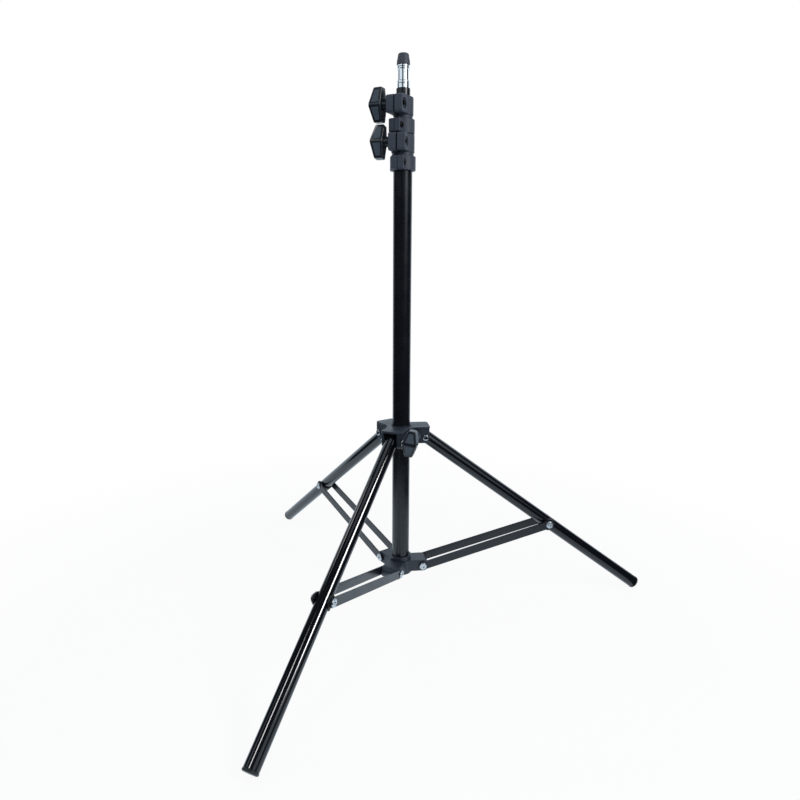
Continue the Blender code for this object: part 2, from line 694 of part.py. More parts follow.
def lower_collar_mesh():
    """The fixed collar about Z, its brace pivots at z = 0."""
    ring_r = LOWER_BORE + LOWER_RING_WALL
    body = turned(
        [
            (0, -LOWER_FOOT_DROP),
            (LOWER_HUB_R - RIM_CHAMFER, -LOWER_FOOT_DROP),
            (LOWER_HUB_R, RIM_CHAMFER - LOWER_FOOT_DROP),
            (LOWER_HUB_R, LOWER_HUB_RISE),
            (ring_r, LOWER_HUB_RISE),
            (ring_r, LOWER_RING_RISE - RIM_CHAMFER),
            (ring_r - RIM_CHAMFER, LOWER_RING_RISE),
            (0, LOWER_RING_RISE),
        ]
    )
    side = [
        (LOWER_HUB_R / 2, -LOWER_LUG_R),
        *arc((LOWER_PIVOT_R, 0), LOWER_LUG_R, -90, 90, 8),
        (LOWER_HUB_R / 2, LOWER_LUG_R),
    ]
    lugs = []
    holes = []
    past = LOWER_LUG_HALF_WIDTH + OVERCUT
    for azimuth in LEG_AZIMUTHS:
        turn = Matrix.Rotation(azimuth, 4, "Z")
        lug = extruded(side, -LOWER_LUG_HALF_WIDTH, LOWER_LUG_HALF_WIDTH, ALONG_Y, EDGE_BEVEL)
        lugs.append(placed(lug, turn))
        hole = rod(RIVET_R + FIT, (LOWER_PIVOT_R, -past, 0), (LOWER_PIVOT_R, past, 0))
        holes.append(placed(hole, turn))
    high = LOWER_RING_RISE + OVERCUT
    holes.append(rod(LOWER_BORE, (0, 0, -LOWER_FOOT_DROP - OVERCUT), (0, 0, high), SIDES))
    return cut(joined(body, lugs), holes)


def leg_tube_mesh():
    """A leg's tube along X from its pivot, drilled for its two pins."""
    end = LEG_LENGTH - FOOT_RIM - FIT
    body = tube(LEG_R, LEG_WALL, -LEG_STUB, end, LEG_SIDES, TURNED_TO_X)
    past = LEG_R + OVERCUT
    holes = [rod(RIVET_R + FIT, (x, -past, 0), (x, past, 0)) for x in (0, BRACE_POINT)]
    return cut(body, holes)


def leg_foot_mesh():
    """A foot along X: a plug inside the tube and a rounded rim beyond it."""
    seat = LEG_LENGTH - FOOT_RIM
    profile = [
        (0, seat - FOOT_PLUG),
        (LEG_R - LEG_WALL - FIT, seat - FOOT_PLUG),
        (LEG_R - LEG_WALL - FIT, seat),
        (FOOT_R, seat),
        *arc((FOOT_ACROSS, FOOT_ALONG), FOOT_FILLET, 0, 90, 3),
        (0, LEG_LENGTH),
    ]
    return turned(profile, sides=LEG_SIDES, turn=TURNED_TO_X)


def saddle_mesh():
    """A saddle under a leg along X: a trough with two ears about the pin at the origin."""
    inner = LEG_R + FIT
    trough = [
        *arc((0, 0), SADDLE_OUTER, 180, 360, 10),
        (SADDLE_OUTER, SADDLE_EAR_R),
        (inner, SADDLE_EAR_R),
        *arc((0, 0), inner, 360, 180, 10),
        (-inner, SADDLE_EAR_R),
        (-SADDLE_OUTER, SADDLE_EAR_R),
    ]
    body = extruded(trough, -SADDLE_EAR_R, SADDLE_EAR_R, ALONG_X)
    low = -SADDLE_OUTER - OVERCUT
    side = [(-SADDLE_EAR_R, low), (SADDLE_EAR_R, low), *arc((0, 0), SADDLE_EAR_R, 0, 180, 10)]
    past = SADDLE_OUTER + OVERCUT
    body = combined(body, extruded(side, -past, past, ALONG_Y), "INTERSECT")
    return cut(body, [rod(RIVET_R + FIT, (0, -past, 0), (0, past, 0))])


def bar_mesh():
    """A flat bar along X from its lower hole, its inner face at y = 0."""
    half = BAR_WIDTH / 2
    outline = [*arc((0, 0), half, 90, 270, 8), *arc((BAR_LENGTH, 0), half, -90, 90, 8)]
    body = extruded(outline, -BAR_THICKNESS, 0, ALONG_Y)
    holes = [rod(RIVET_R + FIT, (x, -OVERCUT, 0), (x, OVERCUT, 0)) for x in (0, BAR_LENGTH)]
    return cut(body, holes)


def brace_rivet_mesh():
    """A rivet head along +Y with the stub that fills its bar's hole, the stub's end at y = 0."""
    seat = BAR_THICKNESS + FIT
    face = seat + HEAD_THICKNESS
    profile = [
        (0, 0),
        (RIVET_R, 0),
        (RIVET_R, seat),
        (BRACE_HEAD_R, seat),
        (BRACE_HEAD_R, face - HEAD_CHAMFER),
        (BRACE_HEAD_R - HEAD_CHAMFER, face),
        (0, face),
    ]
    return turned(profile, sides=SMALL_SIDES, turn=TURNED_TO_Y)


def spigot_mesh():
    """The stud about Z, its shoulder at z = 0 and its plug below, inside the top tube."""
    plug_r = TOP_OD / 2 - TOP_WALL - FIT
    waist_foot = STUD_FLANGE + STUD_TAPER
    waist_top = waist_foot + STUD_WAIST
    head_foot = waist_top + STUD_TAPER
    head_top = head_foot + STUD_HEAD
    profile = [
        (0, -STUD_PLUG),
        (plug_r, -STUD_PLUG),
        (plug_r, FIT),
        (STUD_R, FIT),
        (STUD_R, STUD_FLANGE),
        (STUD_WAIST_R, waist_foot),
        (STUD_WAIST_R, waist_top),
        (STUD_R, head_foot),
        (STUD_R, head_top - RIM_CHAMFER),
        (STUD_R - RIM_CHAMFER, head_top),
        (THREAD_R, head_top),
        (THREAD_R, head_top + THREAD_LENGTH - BOLT_TIP),
        (THREAD_R - BOLT_TIP, head_top + THREAD_LENGTH),
        (0, head_top + THREAD_LENGTH),
    ]
    return turned(profile), head_top


def stud_cap_mesh():
    """The cap about Z, its rim at z = 0, with a blind bore over the thread end."""
    bore_r = THREAD_R + FIT
    bore_top = THREAD_LENGTH + FIT
    slope = math.degrees(math.atan2(CAP_R - CAP_TOP_R, CAP_HEIGHT))
    profile = [
        (0, bore_top),
        (bore_r, bore_top),
        (bore_r, 0),
        (CAP_R, 0),
        *arc((CAP_TOP_R - CAP_ROUND, CAP_HEIGHT - CAP_ROUND), CAP_ROUND, slope, 90, 3),
        (0, CAP_HEIGHT),
    ]
    return turned(profile)


def add_knob(label, mesh, surfaces, axis, standoff, bolt_end):
    """A knob and its bolt on a joint's axis, the bolt running back to bolt_end."""
    piece(label[0], mesh, surfaces["knob"], axis, (standoff, 0, 0))
    piece(label[1], bolt_mesh(bolt_end, standoff + KNOB_BORE_DEPTH), surfaces["zinc"], axis)


for leftover in list(bpy.data.objects):
    bpy.data.objects.remove(leftover)

SURFACES = {
    "tube": material("black_tube", (0.010, 0.011, 0.013), 0.35, 0.6),
    "leg": material("black_leg_tube", (0.012, 0.013, 0.016), 0.35, 0.6),
    "clamp": material("dark_moulding", (0.030, 0.033, 0.040), 0.55),
    "collar": material("dark_casting", (0.032, 0.036, 0.044), 0.50),
    "knob": material("black_knob", (0.015, 0.017, 0.020), 0.30),
    "rubber": material("black_plastic", (0.012, 0.012, 0.014), 0.50),
    "bar": material("dark_steel", (0.060, 0.066, 0.076), 0.40, 0.8),
    "zinc": material("zinc_plate", (0.620, 0.630, 0.640), 0.30, 1.0),
    "chrome": material("bright_plate", (0.800, 0.800, 0.810), 0.12, 1.0),
    "black_screw": material("black_screw", (0.015, 0.015, 0.017), 0.40, 0.8),
}

# Fixed column
column = axis_frame("column_axis", None, (0, COLUMN_Y, 0))
outer_top = CLAMP_FOOT + SLEEVE_HEIGHT + TUBE_SEAT
outer_r = OUTER_OD / 2
piece("outer_tube", tube(outer_r, OUTER_WALL, COLUMN_FOOT, outer_top), SURFACES["tube"], column)
end_plug = flanged_plug(outer_r, outer_r - OUTER_WALL - FIT, PLUG_FLANGE, PLUG_DEPTH)
piece("column_end_plug", end_plug, SURFACES["rubber"], column, (0, 0, COLUMN_FOOT))
piece("lower_collar", lower_collar_mesh(), SURFACES["collar"], column, (0, 0, LOWER_PIVOT_Z))

# Middle and top sections, which slide along the column's axis
middle = axis_frame("middle_section_axis", column)
top = axis_frame("top_section_axis", middle)
middle_r = MIDDLE_OD / 2
middle_foot = COLUMN_FOOT + MIDDLE_FOOT
middle_top = TOP_CLAMP_FOOT + SLEEVE_HEIGHT + TUBE_SEAT
piece("middle_tube", tube(middle_r, MIDDLE_WALL, middle_foot, middle_top), SURFACES["tube"], middle)
middle_bore = middle_r - MIDDLE_WALL
middle_bush = flanged_plug(outer_r - OUTER_WALL - FIT, middle_bore - FIT, BUSH_FLANGE, BUSH_DEPTH)
piece("middle_guide_bush", middle_bush, SURFACES["rubber"], middle, (0, 0, middle_foot))
top_r = TOP_OD / 2
top_foot = middle_foot + TOP_FOOT
piece("top_tube", tube(top_r, TOP_WALL, top_foot, COLUMN_TOP), SURFACES["tube"], top)
top_bush = flanged_plug(middle_bore - FIT, top_r - TOP_WALL - FIT, BUSH_FLANGE, BUSH_DEPTH)
piece("top_guide_bush", top_bush, SURFACES["rubber"], top, (0, 0, top_foot))

# Spigot and its lift-off cap
stud, stud_top = spigot_mesh()
piece("spigot", stud, SURFACES["chrome"], top, (0, 0, COLUMN_TOP))
cap_axis = axis_frame("stud_cap_axis", top, (0, 0, COLUMN_TOP + stud_top + FIT))
piece("stud_cap", stud_cap_mesh(), SURFACES["rubber"], cap_axis)

# Clamps with their nuts, screws and knobs
clamp_feet = {"base": CLAMP_FOOT, "top": TOP_CLAMP_FOOT}
carriers = {"base": column, "top": middle}
azimuths = {"base": BASE_CLAMP_AZIMUTH, "top": TOP_CLAMP_AZIMUTH}
lug_turns = {"base": BASE_LUG_TURN, "top": TOP_LUG_TURN}
knob_turns = {"base": BASE_KNOB_TURN, "top": TOP_KNOB_TURN}
bores = {"base": (outer_r + FIT, middle_r + FIT), "top": (middle_r + FIT, top_r + FIT)}
nut = nut_mesh()
screw = screw_mesh()
clamp_knob = knob_mesh(KNOB_LENGTH)
for label, carrier in carriers.items():
    lower_bore, upper_bore = bores[label]
    clamp = piece(
        f"{label}_clamp",
        clamp_mesh(lower_bore, upper_bore, lug_turns[label]),
        SURFACES["clamp"],
        carrier,
        (0, 0, clamp_feet[label]),
        (0, 0, azimuths[label]),
    )
    nut_seat = (BOLT_AXIS_R, EAR_HALF_WIDTH - NUT_THICKNESS, BOLT_AXIS_Z)
    piece(f"{label}_clamp_nut", nut, SURFACES["zinc"], clamp, nut_seat, (-math.pi / 2, 0, 0))
    lug_frame = axis_frame(f"{label}_lug_frame", clamp, rotation=(0, 0, lug_turns[label]))
    screw_seat = (lower_bore + SCREW_OUT, SLEEVE_LUG_HALF_WIDTH - SCREW_SINK, SLEEVE_HEIGHT / 2)
    turned_down = (-math.pi / 2, 0, 0)
    piece(f"{label}_clamp_screw", screw, SURFACES["black_screw"], lug_frame, screw_seat, turned_down)
    bolt_place = (BOLT_AXIS_R, 0, BOLT_AXIS_Z)
    knob_axis = axis_frame(
        f"{label}_knob_axis", clamp, bolt_place, (knob_turns[label], 0, -math.pi / 2)
    )
    names = (f"{label}_knob", f"{label}_knob_bolt")
    add_knob(names, clamp_knob, SURFACES, knob_axis, KNOB_STANDOFF, FIT - EAR_HALF_WIDTH)

# Sliding collar and its lock
collar = axis_frame("leg_collar_axis", column, (0, 0, COLLAR_PIVOT_Z))
piece("leg_collar", leg_collar_mesh(), SURFACES["collar"], collar)
wing_foot = Matrix.Rotation(WING_AZIMUTH, 3, "Z") @ Vector((0, WING_OFFSET, WING_RISE))
wing = axis_frame("wing_knob_axis", collar, wing_foot, (WING_TILT, 0, WING_AZIMUTH))
wing_knob = knob_mesh(WING_LENGTH)
add_knob(("wing_knob", "wing_bolt"), wing_knob, SURFACES, wing, WING_STANDOFF, WING_START)

# Legs and braces, three of each
upper_rivet = headed_rivet(THIN_OUTER + FIT, THICK_OUTER + FIT, UPPER_HEAD_R)
lower_seat = BAR_AT_COLLAR + BAR_THICKNESS + FIT
lower_rivet = headed_rivet(lower_seat, lower_seat, LOWER_HEAD_R)
leg_tube = leg_tube_mesh()
leg_foot = leg_foot_mesh()
saddle = saddle_mesh()
pin = rod(RIVET_R, (0, -SADDLE_OUTER, 0), (0, SADDLE_OUTER, 0))
bar = bar_mesh()
brace_rivet = brace_rivet_mesh()
for number, azimuth in enumerate(LEG_AZIMUTHS, start=1):
    outward = Vector((math.cos(azimuth), math.sin(azimuth), 0))
    upper_pivot = outward * COLLAR_PIVOT_R
    piece(f"upper_rivet_{number}", upper_rivet, SURFACES["zinc"], collar, upper_pivot, (0, 0, azimuth))
    leg = axis_frame(f"leg_{number}_axis", collar, upper_pivot, (0, LEG_DROP, azimuth))
    piece(f"leg_tube_{number}", leg_tube, SURFACES["leg"], leg)
    piece(f"leg_foot_{number}", leg_foot, SURFACES["rubber"], leg)
    piece(f"leg_saddle_{number}", saddle, SURFACES["rubber"], leg, (BRACE_POINT, 0, 0))
    piece(f"saddle_pin_{number}", pin, SURFACES["zinc"], leg, (BRACE_POINT, 0, 0))

    lower_pivot = outward * LOWER_PIVOT_R + Vector((0, 0, LOWER_PIVOT_Z))
    piece(f"lower_rivet_{number}", lower_rivet, SURFACES["zinc"], column, lower_pivot, (0, 0, azimuth))
    brace = axis_frame(f"brace_{number}_axis", column, lower_pivot, (0, -BRACE_CLIMB, azimuth))
    for side, letter, flip in ((1, "a", 0), (-1, "b", math.pi)):
        foot = (0, side * BAR_AT_COLLAR, 0)
        head = (BRACE_LENGTH, side * BAR_AT_LEG, 0)
        lean = (flip, 0, -side * BAR_LEAN)
        piece(f"brace_bar_{number}{letter}", bar, SURFACES["bar"], brace, foot, lean)
        piece(f"brace_rivet_{number}{letter}", brace_rivet, SURFACES["zinc"], brace, head, lean)
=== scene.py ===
"""The dressed light stand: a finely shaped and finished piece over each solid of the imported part.

Shapes are worked out in millimetres about the column's axis, z = 0 on the floor, and are
turned to metres in the part's frame when a piece is added.
"""

import math

import bmesh
import bpy
from mathutils import Matrix, Vector


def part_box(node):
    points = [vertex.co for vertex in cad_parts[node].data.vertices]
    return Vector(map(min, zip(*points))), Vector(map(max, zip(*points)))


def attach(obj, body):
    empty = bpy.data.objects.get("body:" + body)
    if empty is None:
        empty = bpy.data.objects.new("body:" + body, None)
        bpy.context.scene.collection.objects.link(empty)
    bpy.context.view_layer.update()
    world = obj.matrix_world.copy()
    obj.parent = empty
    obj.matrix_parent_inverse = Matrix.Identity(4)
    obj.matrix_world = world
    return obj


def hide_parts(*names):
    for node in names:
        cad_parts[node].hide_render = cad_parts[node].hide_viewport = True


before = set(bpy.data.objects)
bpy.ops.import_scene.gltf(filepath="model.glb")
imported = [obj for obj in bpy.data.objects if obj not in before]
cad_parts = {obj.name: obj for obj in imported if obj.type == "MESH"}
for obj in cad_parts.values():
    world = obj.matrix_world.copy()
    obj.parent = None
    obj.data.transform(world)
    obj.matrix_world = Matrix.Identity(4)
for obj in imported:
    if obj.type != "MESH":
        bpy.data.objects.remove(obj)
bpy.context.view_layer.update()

# Camera
# Stands 0.87 m from the column, to the right of the front leg and at two thirds of the
# stand's height, looking slightly down, as the photograph was taken.
camera_lens = bpy.data.cameras.new("photo_camera")
camera_lens.lens = 28.205
camera_lens.sensor_width = 36
camera_lens.clip_start = 0.01
camera = bpy.data.objects.new("photo_camera", camera_lens)
camera.matrix_world = (
    Matrix.Translation((0.344613, -0.703032, 0.505779))
    @ Matrix.Rotation(math.radians(23.573), 4, "Z")
    @ Matrix.Rotation(math.radians(77.303), 4, "X")
    @ Matrix.Rotation(math.radians(0.322), 4, "Z")
)
bpy.context.scene.collection.objects.link(camera)
bpy.context.scene.camera = camera
bpy.context.scene.view_settings.view_transform = "Standard"

# Floor
# White studio paper: matt, and lit so that it comes out white, with the stand's soft shadow
# kept faintly on it near the feet.


def add_node(tree, kind, settings=(), links=()):
    """One node, with its properties or input values, and the sockets that feed its inputs."""
    node = tree.nodes.new(kind)
    for name, value in dict(settings).items():
        if isinstance(name, int) or name in node.inputs:
            node.inputs[name].default_value = value
        else:
            setattr(node, name, value)
    for name, source in dict(links).items():
        tree.links.new(source, node.inputs[name])
    return node


def seen_white(tree):
    """1 for rays on which the white surroundings are seen: from the camera, metal and glass."""
    path = add_node(tree, "ShaderNodeLightPath").outputs
    either = path["Is Camera Ray"]
    for other in ("Is Glossy Ray", "Is Transmission Ray"):
        greater = add_node(tree, "ShaderNodeMath", {"operation": "MAXIMUM"}, {0: either, 1: path[other]})
        either = greater.outputs[0]
    return either


def studio_white(tree):
    """White to the camera, and a slightly cool white, as the studio's light is, to all else."""
    camera_ray = add_node(tree, "ShaderNodeLightPath").outputs["Is Camera Ray"]
    whites = {"data_type": "RGBA", 6: (0.86, 1.0, 1.13, 1), 7: (1, 1, 1, 1)}
    return add_node(tree, "ShaderNodeMix", whites, {"Factor": camera_ray}).outputs[2]


FLOOR_R = 9.0
SHADOW_START = 0.45
SHADOW_END = 0.9  # from this distance on, the paper is plain white
WHITE_NEAR_FEET = 0.93  # the plain white's share within SHADOW_START

paper = bpy.data.materials.new("white_studio_paper")
paper.use_nodes = True
tree = paper.node_tree
shader = tree.nodes["Principled BSDF"]
shader.inputs["Base Color"].default_value = (0.86, 0.86, 0.86, 1)
shader.inputs["Roughness"].default_value = 0.9
shader.inputs["Specular IOR Level"].default_value = 0.1
place = add_node(tree, "ShaderNodeTexCoord").outputs["Object"]
distance = add_node(tree, "ShaderNodeVectorMath", {"operation": "LENGTH"}, {0: place}).outputs["Value"]
lit_share = add_node(
    tree,
    "ShaderNodeMapRange",
    {"From Min": SHADOW_START, "From Max": SHADOW_END, "To Min": WHITE_NEAR_FEET, "To Max": 1.0},
    {"Value": distance},
).outputs["Result"]
white_share = add_node(
    tree, "ShaderNodeMath", {"operation": "MULTIPLY"}, {0: lit_share, 1: seen_white(tree)}
).outputs[0]
glow = add_node(tree, "ShaderNodeEmission", (), {"Color": studio_white(tree)}).outputs[0]
mixed = add_node(tree, "ShaderNodeMixShader", (), {0: white_share, 1: shader.outputs[0], 2: glow})
tree.links.new(mixed.outputs[0], tree.nodes["Material Output"].inputs["Surface"])

shape = bmesh.new()
bmesh.ops.create_circle(shape, cap_ends=True, segments=64, radius=FLOOR_R)
mesh = bpy.data.meshes.new("studio_floor")
shape.to_mesh(mesh)
shape.free()
mesh.materials.append(paper)
floor = bpy.data.objects.new("studio_floor", mesh)
bpy.context.scene.collection.objects.link(floor)

# Dark room in front
# The unlit half of the studio on the camera's side. Only reflections see it: it is what makes
# glossy black paint read as black beside white paper.
ROOM_R = 2.6
ROOM_HEIGHT = 3.2
ROOM_FLOOR_START = 0.42
WALL_HEIGHT = 1.15  # above it, a white gap up to the dark ceiling at CEILING_START
LOW_WALL_HEIGHT = 0.65
CEILING_START = 2.2
CEILING_R = 0.9  # the ceiling slopes up to a hole of this radius
WALLS = ((-192, -35, WALL_HEIGHT), (-35, 0, LOW_WALL_HEIGHT), (0, 58, WALL_HEIGHT))  # from, to, height
POSTS = ((-192, -158), (-92, -66), (8, 50))  # three dark posts in the gap, from and to

dark = bpy.data.materials.new("unlit_studio_wall")
dark.use_nodes = True
dark.node_tree.nodes.remove(dark.node_tree.nodes["Principled BSDF"])
wall = add_node(dark.node_tree, "ShaderNodeEmission", {"Color": (0.04, 0.045, 0.055, 1)}).outputs[0]
dark.node_tree.links.new(wall, dark.node_tree.nodes["Material Output"].inputs["Surface"])


def sheet(shape, profile, first, last):
    """Sweeps a profile of (radius, height) points about Z, from one azimuth to another."""
    points = [shape.verts.new((radius, 0, height)) for radius, height in profile]
    lines = [shape.edges.new(pair) for pair in zip(points, points[1:])]
    start = Matrix.Rotation(math.radians(first), 3, "Z")
    bmesh.ops.rotate(shape, verts=points, cent=(0, 0, 0), matrix=start)
    bmesh.ops.spin(
        shape,
        geom=points + lines,
        cent=(0, 0, 0),
        axis=(0, 0, 1),
        angle=math.radians(last - first),
        steps=round((last - first) / 4),
        use_merge=False,
    )


shape = bmesh.new()
for first, last, height in WALLS:
    sheet(shape, [(ROOM_FLOOR_START, 0.002), (ROOM_R, 0.002), (ROOM_R, height)], first, last)
sheet(shape, [(ROOM_R, CEILING_START), (CEILING_R, ROOM_HEIGHT)], WALLS[0][0], WALLS[-1][1])
for first, last in POSTS:
    sheet(shape, [(ROOM_R, WALL_HEIGHT), (ROOM_R, CEILING_START)], first, last)
mesh = bpy.data.meshes.new("studio_dark_side")
shape.to_mesh(mesh)
shape.free()
mesh.materials.append(dark)
dark_side = bpy.data.objects.new("studio_dark_side", mesh)
bpy.context.scene.collection.objects.link(dark_side)
for ray in ("camera", "diffuse", "transmission", "volume_scatter", "shadow"):
    setattr(dark_side, f"visible_{ray}", False)

# Light
# White surroundings that are seen as they are and light the stand dimly, and three small soft
# boxes. Two more lamps light nothing: the front leg's tube alone mirrors them, as the two thin
# bright lines along it.
DIM_SHARE = 0.38

world = bpy.data.worlds.new("white_surroundings")
bpy.context.scene.world = world
world.use_nodes = True
tree = world.node_tree
strength = add_node(
    tree, "ShaderNodeMapRange", {"To Min": DIM_SHARE, "To Max": 1.0}, {"Value": seen_white(tree)}
).outputs["Result"]
tree.links.new(strength, tree.nodes["Background"].inputs["Strength"])
tree.links.new(studio_white(tree), tree.nodes["Background"].inputs["Color"])

AIM = Vector((0, 0.05, 0.25))
front_leg_only = bpy.data.collections.new("front_leg_only")
# name, azimuth, elevation, distance, width, height, turn in its own plane, radiance
soft_boxes = (
    ("key_soft_box", -11, 35.3, 1.8, 0.36, 0.90, -40, 11),
    ("front_soft_box", -100, 49.6, 2.04, 0.22, 0.50, 0, 10.5),
    ("side_soft_box", -176, 40, 1.9, 0.36, 0.45, 0, 4.5),
    ("key_glint", -7.0, 35.8, 1.8, 0.55, 0.88, -54, 26),
    ("front_glint", -100.6, 49.3, 2.0, 0.36, 0.75, 9, 10),
)
for name, azimuth, elevation, distance, width, height, roll, radiance in soft_boxes:
    lamp = bpy.data.lights.new(name, "AREA")
    glint = name.endswith("glint")
    lamp.shape = "ELLIPSE" if glint else "RECTANGLE"
    lamp.size = width
    lamp.size_y = height
    lamp.energy = radiance * math.pi * width * height
    box = bpy.data.objects.new(name, lamp)
    flat = math.radians(azimuth)
    up = math.radians(elevation)
    away = Vector((math.cos(flat) * math.cos(up), math.sin(flat) * math.cos(up), math.sin(up)))
    facing = away.to_track_quat("Z", "Y").to_matrix().to_4x4()
    facing = facing @ Matrix.Rotation(math.radians(roll), 4, "Z")
    box.matrix_world = Matrix.Translation(AIM + away * distance) @ facing
    box.visible_camera = False
    if glint:
        box.visible_diffuse = False
        box.light_linking.receiver_collection = front_leg_only
    bpy.context.scene.collection.objects.link(box)

# Outer tube
# Drawn aluminium tube, 25 mm across, sprayed with black gloss enamel. The lower collar is
# pressed onto its foot and the base clamp grips its head.


def linear(hexadecimal):
    """An sRGB colour such as "1a1b1d" as linear red, green, blue and alpha."""
    channels = [int(hexadecimal[k : k + 2], 16) / 255 for k in (0, 2, 4)]
    return (*[c / 12.92 if c < 0.04045 else ((c + 0.055) / 1.055) ** 2.4 for c in channels], 1)


def surface(name, colour, worn_colour, roughness, grain, relief, spread=0.08, metallic=0.0, patch=0.03):
    """A finish: its colour clouded towards worn_colour, and an uneven sheen over fine relief.

    grain and patch are the sizes of the relief and of the clouding in metres, relief is the
    relief's height in metres, and spread is how far the roughness wanders.
    """
    made = bpy.data.materials.new(name)
    made.use_nodes = True
    tree = made.node_tree
    shader = tree.nodes["Principled BSDF"]
    shader.inputs["Metallic"].default_value = metallic
    place = add_node(tree, "ShaderNodeTexCoord").outputs["Object"]
    cloud = add_node(
        tree, "ShaderNodeTexNoise", {"Scale": 1 / patch, "Detail": 4, "Roughness": 0.6}, {"Vector": place}
    ).outputs["Fac"]
    shade = add_node(
        tree,
        "ShaderNodeMix",
        {"data_type": "RGBA", 6: linear(colour), 7: linear(worn_colour)},
        {"Factor": cloud},
    ).outputs[2]
    sheen = add_node(
        tree,
        "ShaderNodeMapRange",
        {"From Min": 0.3, "From Max": 0.7, "To Min": roughness - spread, "To Max": roughness + spread},
        {"Value": cloud},
    ).outputs["Result"]
    pits = add_node(
        tree, "ShaderNodeTexNoise", {"Scale": 1 / grain, "Detail": 2}, {"Vector": place}
    ).outputs["Fac"]
    bump = add_node(tree, "ShaderNodeBump", {"Strength": 1, "Distance": relief}, {"Height": pits})
    tree.links.new(shade, shader.inputs["Base Color"])
    tree.links.new(sheen, shader.inputs["Roughness"])
    tree.links.new(bump.outputs[0], shader.inputs["Normal"])
    return made


def outline(points):
    """A wire through points (x, z), its corners still sharp, and those corners."""
    shape = bmesh.new()
    corners = [shape.verts.new((point[0], 0, point[1])) for point in points]
    for pair in zip(corners, corners[1:]):
        shape.edges.new(pair)
    return shape, corners


def soften(shape, corners, points, steps=4):
    """Rounds each corner by the last number of its point, where the point has three."""
    radii = [point[2] if len(point) > 2 else 0 for point in points]
    for radius in sorted(set(radii) - {0}):
        sharp = [corner for corner, own in zip(corners, radii) if own == radius]
        bmesh.ops.bevel(
            shape, geom=sharp, offset=radius, segments=steps, profile=0.5, affect="VERTICES", material=-1
        )


def face_out(shape):
    """Turns all faces outwards. The first step can turn an even shape inside out."""
    bmesh.ops.recalc_face_normals(shape, faces=shape.faces[:])
    if shape.calc_volume(signed=True) < 0:
        bmesh.ops.reverse_faces(shape, faces=shape.faces[:])


def spun(points, sides=96, closed=False):
    """A profile of (radius, height, rounding) points spun about Z; closed joins its two ends."""
    shape, corners = outline(points)
    if closed:
        shape.edges.new((corners[-1], corners[0]))
    soften(shape, corners, points)
    bmesh.ops.spin(
        shape,
        geom=shape.verts[:] + shape.edges[:],
        cent=(0, 0, 0),
        axis=(0, 0, 1),
        angle=math.tau,
        steps=sides,
        use_merge=True,
    )
    bmesh.ops.remove_doubles(shape, verts=shape.verts[:], dist=0.0001)
    face_out(shape)
    return shape


MILLIMETRE = 0.001
OUTER_R = 12.5
TUBE_FOOT = 50
low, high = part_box("outer_tube")
COLUMN = Matrix.Translation((0, (low[1] + high[1]) / 2 / MILLIMETRE, 0))
SHARP = math.radians(38)


def add_piece(node, shape, finish, body, place=COLUMN, painted_light_finish=None):
    """Ends a bmesh as a piece of the stand, which replaces the CAD node of that name.

    painted_light_finish is the finish of the faces whose material index is 1: painted sheen on the knobs'
    panels, painted shade in the upper rivets' hollows.
    """
    face_out(shape)
    shape.transform(Matrix.Scale(MILLIMETRE, 4) @ place)
    mesh = bpy.data.meshes.new(f"stand_{node}")
    shape.to_mesh(mesh)
    shape.free()
    mesh.shade_smooth()
    mesh.set_sharp_from_angle(angle=SHARP)
    mesh.materials.append(finish)
    if painted_light_finish:
        mesh.materials.append(painted_light_finish)
    piece = bpy.data.objects.new(f"stand_{node}", mesh)
    bpy.context.scene.collection.objects.link(piece)
    even = piece.modifiers.new("even_shading", "WEIGHTED_NORMAL")
    even.keep_sharp = True
    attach(piece, body)
    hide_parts(node)
    return piece


def tube(outer_r, inner_r, low, high):
    """A tube about Z with slightly rounded ends."""
    lip = 0.3
    rim = [(inner_r, low, lip), (outer_r, low, lip), (outer_r, high, lip), (inner_r, high, lip)]
    return spun(rim, closed=True)


# Black gloss enamel on drawn tube: nearly black, with a clear reflection that a faint orange
# peel breaks up. The peel's waves are about 2 mm long.
column_enamel = surface("black_gloss_enamel", "0a0d12", "0e1117", 0.24, grain=0.002, relief=0.000004)
add_piece("outer_tube", tube(OUTER_R, 11.3, TUBE_FOOT, 636.4), column_enamel, "column")

# Column end plug
# A moulded nylon plug pushed into the foot of the outer tube, with a thin flange below it
# that covers the tube's cut end.

# Black nylon, moulded with a fine satin: the grain is about 0.3 mm and is drawn three times
# as coarse so that it shows.
black_nylon = surface("moulded_black_nylon", "131416", "1b1c1f", 0.48, grain=0.001, relief=0.00002)
PLUG_R = 11
end_plug = spun(
    [
        (0, 47.5),
        (OUTER_R, 47.5, 0.7),
        (OUTER_R, TUBE_FOOT - 0.3, 0.2),
        (PLUG_R, TUBE_FOOT - 0.3),
        (PLUG_R, 62, 0.8),
        (0, 62),
    ]
)
add_piece("column_end_plug", end_plug, black_nylon, "column")

# Lower collar
# One dark moulding fixed on the outer tube's foot: a hub, a thin ring above it, and a rounded
# lug towards each leg, drilled for the rivet on which the two bars of a brace turn.


def block(corners, low, high, edge=0.0, steps=3):
    """An outline of (x, y, rounding) corners extruded along Z, with its edges bevelled."""
    shape = bmesh.new()
    points = [shape.verts.new((x, y, low)) for x, y, *_ in corners]
    shape.faces.new(points)
    soften(shape, points, corners, steps=6)
    base = shape.faces[:]
    raised = bmesh.ops.extrude_face_region(shape, geom=base)["geom"]
    lifted = [part for part in raised if isinstance(part, bmesh.types.BMVert)]
    bmesh.ops.translate(shape, verts=lifted, vec=(0, 0, high - low))
    face_out(shape)
    if edge:
        rims = [side for side in shape.edges if side.calc_face_angle() > SHARP]
        bmesh.ops.bevel(
            shape, geom=rims, offset=edge, segments=steps, profile=0.5, affect="EDGES", material=-1
        )
    return shape


